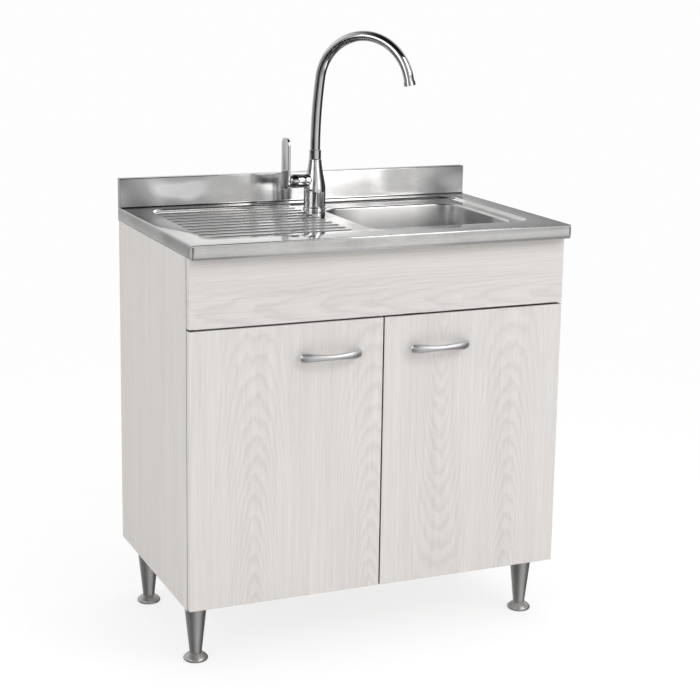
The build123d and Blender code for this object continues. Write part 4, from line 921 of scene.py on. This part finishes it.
def tap_body_casting():
    """Cast body: a round column drawn in to its neck, with the side barrel blended in, and the shank."""
    foot = (TAP_X, TAP_Y, TAP_FOOT)
    outline = [(0, 0), (BODY_RADIUS, 0), (BODY_RADIUS, BODY_STRAIGHT)]
    outline += shoulder((BODY_RADIUS, BODY_STRAIGHT), (WAIST_RADIUS, BODY_HEIGHT)) + [(0, BODY_HEIGHT)]
    column = lathe("tap_body_casting", outline, foot, steps=64)
    axis = (TAP_X, TAP_Y, TAP_FOOT + BARREL_RISE * MM)
    outline = [(0, 0), (BARREL_RADIUS, 0), (BARREL_RADIUS, BARREL_LENGTH), (0, BARREL_LENGTH)]
    cut(column, lathe("barrel", outline, axis, axis=(-1, 0, 0), radial=(0, 0, 1), steps=64), "UNION")
    shape_with(column, "REMESH", mode="VOXEL", voxel_size=CASTING_GRAIN)
    shape_with(column, "CORRECTIVE_SMOOTH", iterations=14, factor=0.6, use_only_smooth=True)
    outline = [(0, 3), (SHANK_RADIUS, 3)] + thread(SHANK_RADIUS, SHANK_ROOT, -8, -2, 12)
    outline += [(SHANK_ROOT, SHANK_END), (0, SHANK_END)]
    join(column, lathe("shank", outline, foot, steps=48))
    finish_piece(column, chrome_plating, "carcass", "tap_body", sharp=45)


def mixer_cap_cover():
    """Turned cover over the cartridge, with a shadow groove where it meets the barrel."""
    axis = (TAP_X - (BARREL_LENGTH + CAP_GAP) * MM, TAP_Y, TAP_FOOT + BARREL_RISE * MM)
    outline = [(12, 0), (14, 0), (14, 1.4), (15, 1.6), (15, 24), (9.5, 33)]
    outline += [(7.5, 33), (7.5, 30), (12, 22), (12, 0)]
    cover = lathe("mixer_cap_cover", outline, axis, axis=(-1, 0, 0), radial=(0, 0, 1), steps=72)
    soften(cover, 0.3, 2)
    finish_piece(cover, chrome_plating, "mixer_head", "mixer_cap")


def lever_paddle():
    """Flat upright lever with round ends, on its short hub."""
    low, high = low_of("lever"), high_of("lever")
    inner = low.x + LEVER_THICKNESS
    middle = Vector((inner, TAP_Y, (low.z + high.z) / 2))
    paddle = begin("lever_paddle", "plane", size=1, location=middle, rotation=(0, -math.pi / 2, 0))
    bpy.ops.transform.resize(value=(1, LEVER_WIDTH, high.z - low.z), center_override=middle)
    pick(paddle, "verts", lambda m, v: m.z > middle.z)
    bpy.ops.mesh.bevel(offset=LEVER_TOP_ROUND, segments=10, affect="VERTICES")
    pick(paddle, "verts", lambda m, v: near(m.z, low.z, LOOSE))
    bpy.ops.mesh.bevel(offset=LEVER_FOOT_ROUND, segments=12, affect="VERTICES")
    bpy.ops.mesh.select_all(action="SELECT")
    extrude((-LEVER_THICKNESS, 0, 0))
    close_solid(paddle)
    soften(paddle, 1.8, 5)
    outline = [(0, -1), (4, -1), (4, 13), (3.2, 13.8), (0, 13.8)]
    axis = (inner, TAP_Y, TAP_FOOT + BARREL_RISE * MM)
    join(paddle, lathe("hub", outline, axis, axis=(1, 0, 0), radial=(0, 0, 1), steps=32))
    finish_piece(paddle, chrome_plating, "lever", "lever")


def spout_tube():
    """The high arch, bent from one tube."""
    out = Vector((math.cos(SPOUT_TURN), math.sin(SPOUT_TURN), 0))
    side = Vector((-out.y, out.x, 0))
    up = Vector((0, 0, 1))
    axis = Vector((TAP_X, TAP_Y, TAP_FOOT))
    tube = begin("spout_tube", "circle", vertices=80, radius=SPOUT_RADIUS, location=axis + up * RISER_FOOT)
    extrude(up * (RISER_TOP - RISER_FOOT))
    centre = axis + up * RISER_TOP + out * LEAN_RADIUS
    bpy.ops.mesh.spin(steps=20, angle=-LEAN, center=centre, axis=side)
    centre -= (out * math.cos(LEAN) - up * math.sin(LEAN)) * (LEAN_RADIUS - BOW_RADIUS)
    bpy.ops.mesh.spin(steps=200, angle=-BOW, center=centre, axis=side)
    turned = LEAN + BOW
    extrude((out * math.sin(turned) + up * math.cos(turned)) * TAIL)
    merge_doubles()
    close_solid(tube)
    shape_with(tube, "SOLIDIFY", thickness=SPOUT_WALL, offset=-1)
    finish_piece(tube, chrome_plating, "spout", "spout")


tap_base_ring()
tap_body_casting()
mixer_cap_cover()
lever_paddle()
spout_tube()

# -------------------------------- handles
HANDLE_PROJECTION = 30
HANDLE_LENGTH = 126
# half depth and half height of the grip in the middle and of the knob-like ends
GRIP_MID, GRIP_END = (4.8, 5.8), (8.6, 10.2)
END_STANDOFF = 9.4
POST_SPACING = 96
# how far the arc that the rings are strung on ends inside the handle's length
END_INSET = 4
# where the rings are strung, as shares of the way from the middle to an end, and how full the last ones are
RING_SHARES = [0, 0.12, 0.25, 0.38, 0.5, 0.6, 0.68, 0.76, 0.84, 0.9]
BLUNT_END = {0.97: 1, 1.015: 0.95, 1.04: 0.8, 1.05: 0.5}
# the grip has swollen to its end's size at this share, along a curve of this power
SWOLLEN_AT, SWELL_POWER = 0.88, 2.4


def bow_handle(name, door):
    """Cast bow: oval rings strung along an arc, slim in the middle and full at the ends, on two posts."""
    middle = middle_of(name)
    face = low_of(door).y
    crest = HANDLE_PROJECTION - GRIP_MID[0]
    rise = crest - END_STANDOFF
    half_chord = HANDLE_LENGTH / 2 - END_INSET
    radius = (half_chord**2 + rise**2) / (2 * rise)
    reach = math.asin(half_chord / radius)
    centre = Vector((middle.x, face + (radius - crest) * MM, middle.z))
    shares = [*RING_SHARES, *BLUNT_END]
    bow = begin_empty(f"{name}_bow")
    for share in [-s for s in reversed(shares[1:])] + shares:
        angle = share * reach
        full = BLUNT_END.get(abs(share), 1)
        swell = math.sin(math.pi / 2 * min(abs(share) / SWOLLEN_AT, 1) ** SWELL_POWER)
        depth, height = ((mid + (end - mid) * swell) * full for mid, end in zip(GRIP_MID, GRIP_END))
        place = centre + Vector((math.sin(angle), -math.cos(angle), 0)) * radius * MM
        bpy.ops.mesh.select_all(action="DESELECT")
        bpy.ops.mesh.primitive_circle_add(
            vertices=32, radius=MM, location=place, rotation=(0, math.pi / 2, angle), fill_type="NOTHING"
        )
        bpy.ops.transform.resize(value=(depth, depth, height), center_override=place)
    bpy.ops.mesh.select_all(action="SELECT")
    bpy.ops.mesh.bridge_edge_loops()
    for side in (-1, 1):
        pick(bow, "edges", lambda m, e: is_open(e) and (m.x - middle.x) * side > 0)
        bpy.ops.mesh.edge_face_add()
    close_solid(bow)
    soften(bow, 1.2, 3, 50)
    length = math.sqrt(radius**2 - (POST_SPACING / 2) ** 2) - radius + crest
    for side in (-1, 1):
        foot = (middle.x + side * POST_SPACING / 2 * MM, face, middle.z)
        outline = [(0, 0), (6.2, 0), (6.2, 0.8), (5, 2.2), (5, length), (0, length)]
        join(bow, lathe("post", outline, foot, axis=(0, -1, 0), steps=32))
    finish_piece(bow, satin_nickel, door, name, sharp=50)


bow_handle("handle_left", "door_left")
bow_handle("handle_right", "door_right")

# -------------------------------- legs and feet
FOOT_RADIUS, FOOT_EDGE = 24.7, 5
FOOT_NECK = (11.6, 16)
STUD_CREST, STUD_ROOT, STUD_TOP = 5, 4.4, 76
LEG_OUTLINE = [
    (5.6, 30), (5.6, 16), (11.5, 16), (12.12, 16.6), (23.24, 124.3), (22.7, 125), (0, 125), (0, 30), (5.6, 30)
]


def dome(start, start_pull, end, end_pull, steps=10):
    """A smooth run of (radius, height) points between two places with the given pulls."""
    points = []
    for i in range(1, steps + 1):
        t = i / steps
        weights = (2 * t**3 - 3 * t**2 + 1, t**3 - 2 * t**2 + t, 3 * t**2 - 2 * t**3, t**3 - t**2)
        parts = (start, start_pull, end, end_pull)
        points.append(tuple(sum(w * part[k] for w, part in zip(weights, parts)) for k in (0, 1)))
    return points


def turned_leg(place):
    """Tapered leg with softened rims, and the levelling foot with its domed top and threaded stud."""
    middle = middle_of(f"leg_{place}")
    floor_point = (middle.x, middle.y, 0)
    leg = lathe(f"turned_leg_{place}", LEG_OUTLINE, floor_point, steps=72)
    finish_piece(leg, satin_leg, "carcass", f"leg_{place}")
    sole = [(0, 0)] + arc((FOOT_RADIUS - FOOT_EDGE, FOOT_EDGE), FOOT_EDGE, -90, 0, 6)
    crown = dome(sole[-1], (-2, 9), FOOT_NECK, (-15, 7))
    stud = [(STUD_CREST, 16)] + thread(STUD_CREST, STUD_ROOT, 18, 2.9, 20)
    outline = sole + crown + stud + [(STUD_ROOT, STUD_TOP), (0, STUD_TOP)]
    foot = lathe(f"levelling_foot_{place}", outline, floor_point, steps=72)
    finish_piece(foot, satin_foot, f"foot_{place}", f"foot_{place}", sharp=50)


for place in ("front_left", "front_right", "back_left", "back_right"):
    turned_leg(place)

# -------------------------------- studio
WHITE = linear("#FFFFFF")
PAPER_NEAR = 0.9
PAPER_FAR = 2.3
BACKGROUND_GLOW, EVEN_GLOW, WALL_GLOW = 0.985, 0.64, 1.12
# the room as mirrors see it: (degrees around from straight ahead, colour) and (degrees up or down, colour)
ROOM_AROUND = [
    (-180, "#D8D8D8"), (-140, "#D8D8D8"), (-118, "#8E8E8E"), (-88, "#8E8E8E"), (-74, "#161616"),
    (-54, "#161616"), (-46, "#7A7A7A"), (-20, "#A8A8A8"), (-9, "#F4F4F4"), (16, "#DCDCDC"), (20, "#F4F4F4"),
    (26, "#FFFFFF"), (34, "#E8E8E8"), (44, "#F0F0F0"), (54, "#5C5C5C"), (80, "#3A3A3A"), (125, "#565656"),
    (146, "#7C7C7C"), (152, "#A8A8A8"), (159, "#FAFAFA"), (171, "#D8D8D8"), (180, "#D8D8D8"),
]
ROOM_BEHIND = [
    (0, "#F0F0F0"), (13, "#ECECEC"), (20, "#F4F4F4"), (42, "#DCDCDC"), (54, "#9A9A9A"), (65, "#707070"),
    (75, "#282828"), (90, "#141414"),
]
ROOM_AHEAD = [(0, "#B4B4B4"), (20, "#C4C4C4"), (30, "#7A7A7A"), (40, "#1C1C1C"), (90, "#141414")]
ROOM_BELOW = [
    (0, "#FFFFFF"), (10, "#F2F2F2"), (18, "#DADADA"), (26, "#D0D0D0"), (40, "#E4E4E4"), (90, "#F4F4F4"),
]
# the height in degrees over which the walls pass into the ceiling
WALL_TOP = (12, 19)


def mixed_shader(tree, share, first, second):
    return add_node(tree, "ShaderNodeMixShader", {0: share, 1: first, 2: second}).outputs[0]


def floor_material():
    """White paper floor: white to the camera, with the unit's soft shadow; mirrors see the room past it."""
    material, tree, shader, place = new_material("white_paper")
    colour = ramp_of(tree, noise_of(tree, place, 3.0, 2.0), [(0.0, "#F7F7F7"), (1.0, "#F9F9F9")])
    tree.links.new(colour, shader.inputs["Base Color"])
    shader.inputs["Roughness"].default_value = 0.9
    shader.inputs["Specular IOR Level"].default_value = 0.1
    radius = add_node(tree, "ShaderNodeVectorMath", {0: place}, operation="LENGTH").outputs["Value"]
    far = scaled(tree, radius, PAPER_NEAR, PAPER_FAR)
    path = add_node(tree, "ShaderNodeLightPath")
    # close by the paper keeps part of its real shading, further off it is plain white
    strength = scaled(tree, far, 0.0, 1.0, 1.05, BACKGROUND_GLOW)
    glow = add_node(tree, "ShaderNodeEmission", {"Color": WHITE, "Strength": strength})
    whiteness = scaled(tree, far, 0.0, 1.0, 0.72, 1.0)
    share = maths(tree, "MULTIPLY", path.outputs["Is Camera Ray"], whiteness)
    paper = mixed_shader(tree, share, shader.outputs["BSDF"], glow.outputs["Emission"])
    open_air = add_node(tree, "ShaderNodeBsdfTransparent").outputs[0]
    output = next(n for n in tree.nodes if n.type == "OUTPUT_MATERIAL")
    surface = mixed_shader(tree, path.outputs["Is Glossy Ray"], paper, open_air)
    tree.links.new(surface, output.inputs["Surface"])
    return material


def set_world():
    """White for the camera, even light for the surfaces, and a room with dark and bright walls in mirrors."""
    world = bpy.data.worlds.new("studio")
    bpy.context.scene.world = world
    world.use_nodes = True
    tree = world.node_tree
    tree.nodes.clear()
    path = add_node(tree, "ShaderNodeLightPath")
    direction = add_node(tree, "ShaderNodeTexCoord").outputs["Generated"]
    split = add_node(tree, "ShaderNodeSeparateXYZ", {"Vector": direction})
    x, y, z = (split.outputs[i] for i in range(3))

    def backdrop(colour, strength):
        return add_node(tree, "ShaderNodeBackground", {"Color": colour, "Strength": strength}).outputs[0]

    turn = maths(tree, "ARCTAN2", x, maths(tree, "MULTIPLY", y, -1.0))
    rise = maths(tree, "ARCSINE", z)
    around = ramp_of(tree, scaled(tree, turn, -math.pi, math.pi), spread_out(ROOM_AROUND, -180, 180))
    upward, downward = (scaled(tree, rise, 0.0, end) for end in (math.pi / 2, -math.pi / 2))
    behind = ramp_of(tree, upward, spread_out(ROOM_BEHIND, 0, 90))
    ahead = ramp_of(tree, upward, spread_out(ROOM_AHEAD, 0, 90))
    below = ramp_of(tree, downward, spread_out(ROOM_BELOW, 0, 90))
    walls = mixed_colour(tree, 1.0, around, below, "MULTIPLY")
    # furniture and people stand about in any room, as soft blotches
    blotches = ramp_of(tree, noise_of(tree, direction, 3.6, 1.5), [(0.36, "#B4B4B4"), (0.56, "#FFFFFF")])
    walls = mixed_colour(tree, 1.0, walls, blotches, "MULTIPLY")
    ceiling = mixed_colour(tree, scaled(tree, y, -0.25, 0.25), ahead, behind)
    high = scaled(tree, rise, *(math.radians(angle) for angle in WALL_TOP))
    room = mixed_shader(tree, high, backdrop(walls, WALL_GLOW), backdrop(ceiling, 1.0))
    unseen = mixed_shader(tree, path.outputs["Is Glossy Ray"], backdrop(WHITE, EVEN_GLOW), room)
    seen = maths(tree, "MAXIMUM", path.outputs["Is Camera Ray"], path.outputs["Is Transmission Ray"])
    output = tree.nodes.new("ShaderNodeOutputWorld")
    surface = mixed_shader(tree, seen, unseen, backdrop(WHITE, BACKGROUND_GLOW))
    tree.links.new(surface, output.inputs["Surface"])


def add_lamp(name, place, aim, size, power, mirrored=True, lights=True):
    """A square lamp that metal may or may not mirror, and that may light nothing but metal."""
    data = bpy.data.lights.new(name, "AREA")
    data.shape = "SQUARE"
    data.size = size
    data.energy = power
    lamp = bpy.data.objects.new(name, data)
    bpy.context.scene.collection.objects.link(lamp)
    lamp.location = place
    lamp.rotation_euler = (Vector(aim) - Vector(place)).to_track_quat("-Z", "Y").to_euler()
    lamp.visible_glossy = mirrored
    lamp.visible_diffuse = lights


def set_studio():
    """The paper floor, the room and four lamps."""
    bpy.ops.object.select_all(action="DESELECT")
    bpy.ops.mesh.primitive_plane_add(size=16, location=(0, 0, 0))
    floor = bpy.context.active_object
    floor.name = "floor"
    floor.data.materials.append(floor_material())
    set_world()
    add_lamp("key", (1.6, -2.6, 2.9), (0, 0, 0.5), 1.8, 38)
    add_lamp("fill", (-3.2, -1.6, 1.8), (0, 0, 0.5), 2.0, 22)
    # a low panel that only shows in the metal, in the bowl above all
    add_lamp("panel", (1.45, -3.0, 1.35), (0.16, 0.1, 0.8), 1.0, 5, lights=False)
    add_lamp("top", (0.2, 0.1, 3.2), (0.1, 0, 0.8), 1.6, 30, mirrored=False)


set_studio()

bpy.context.view_layer.update()
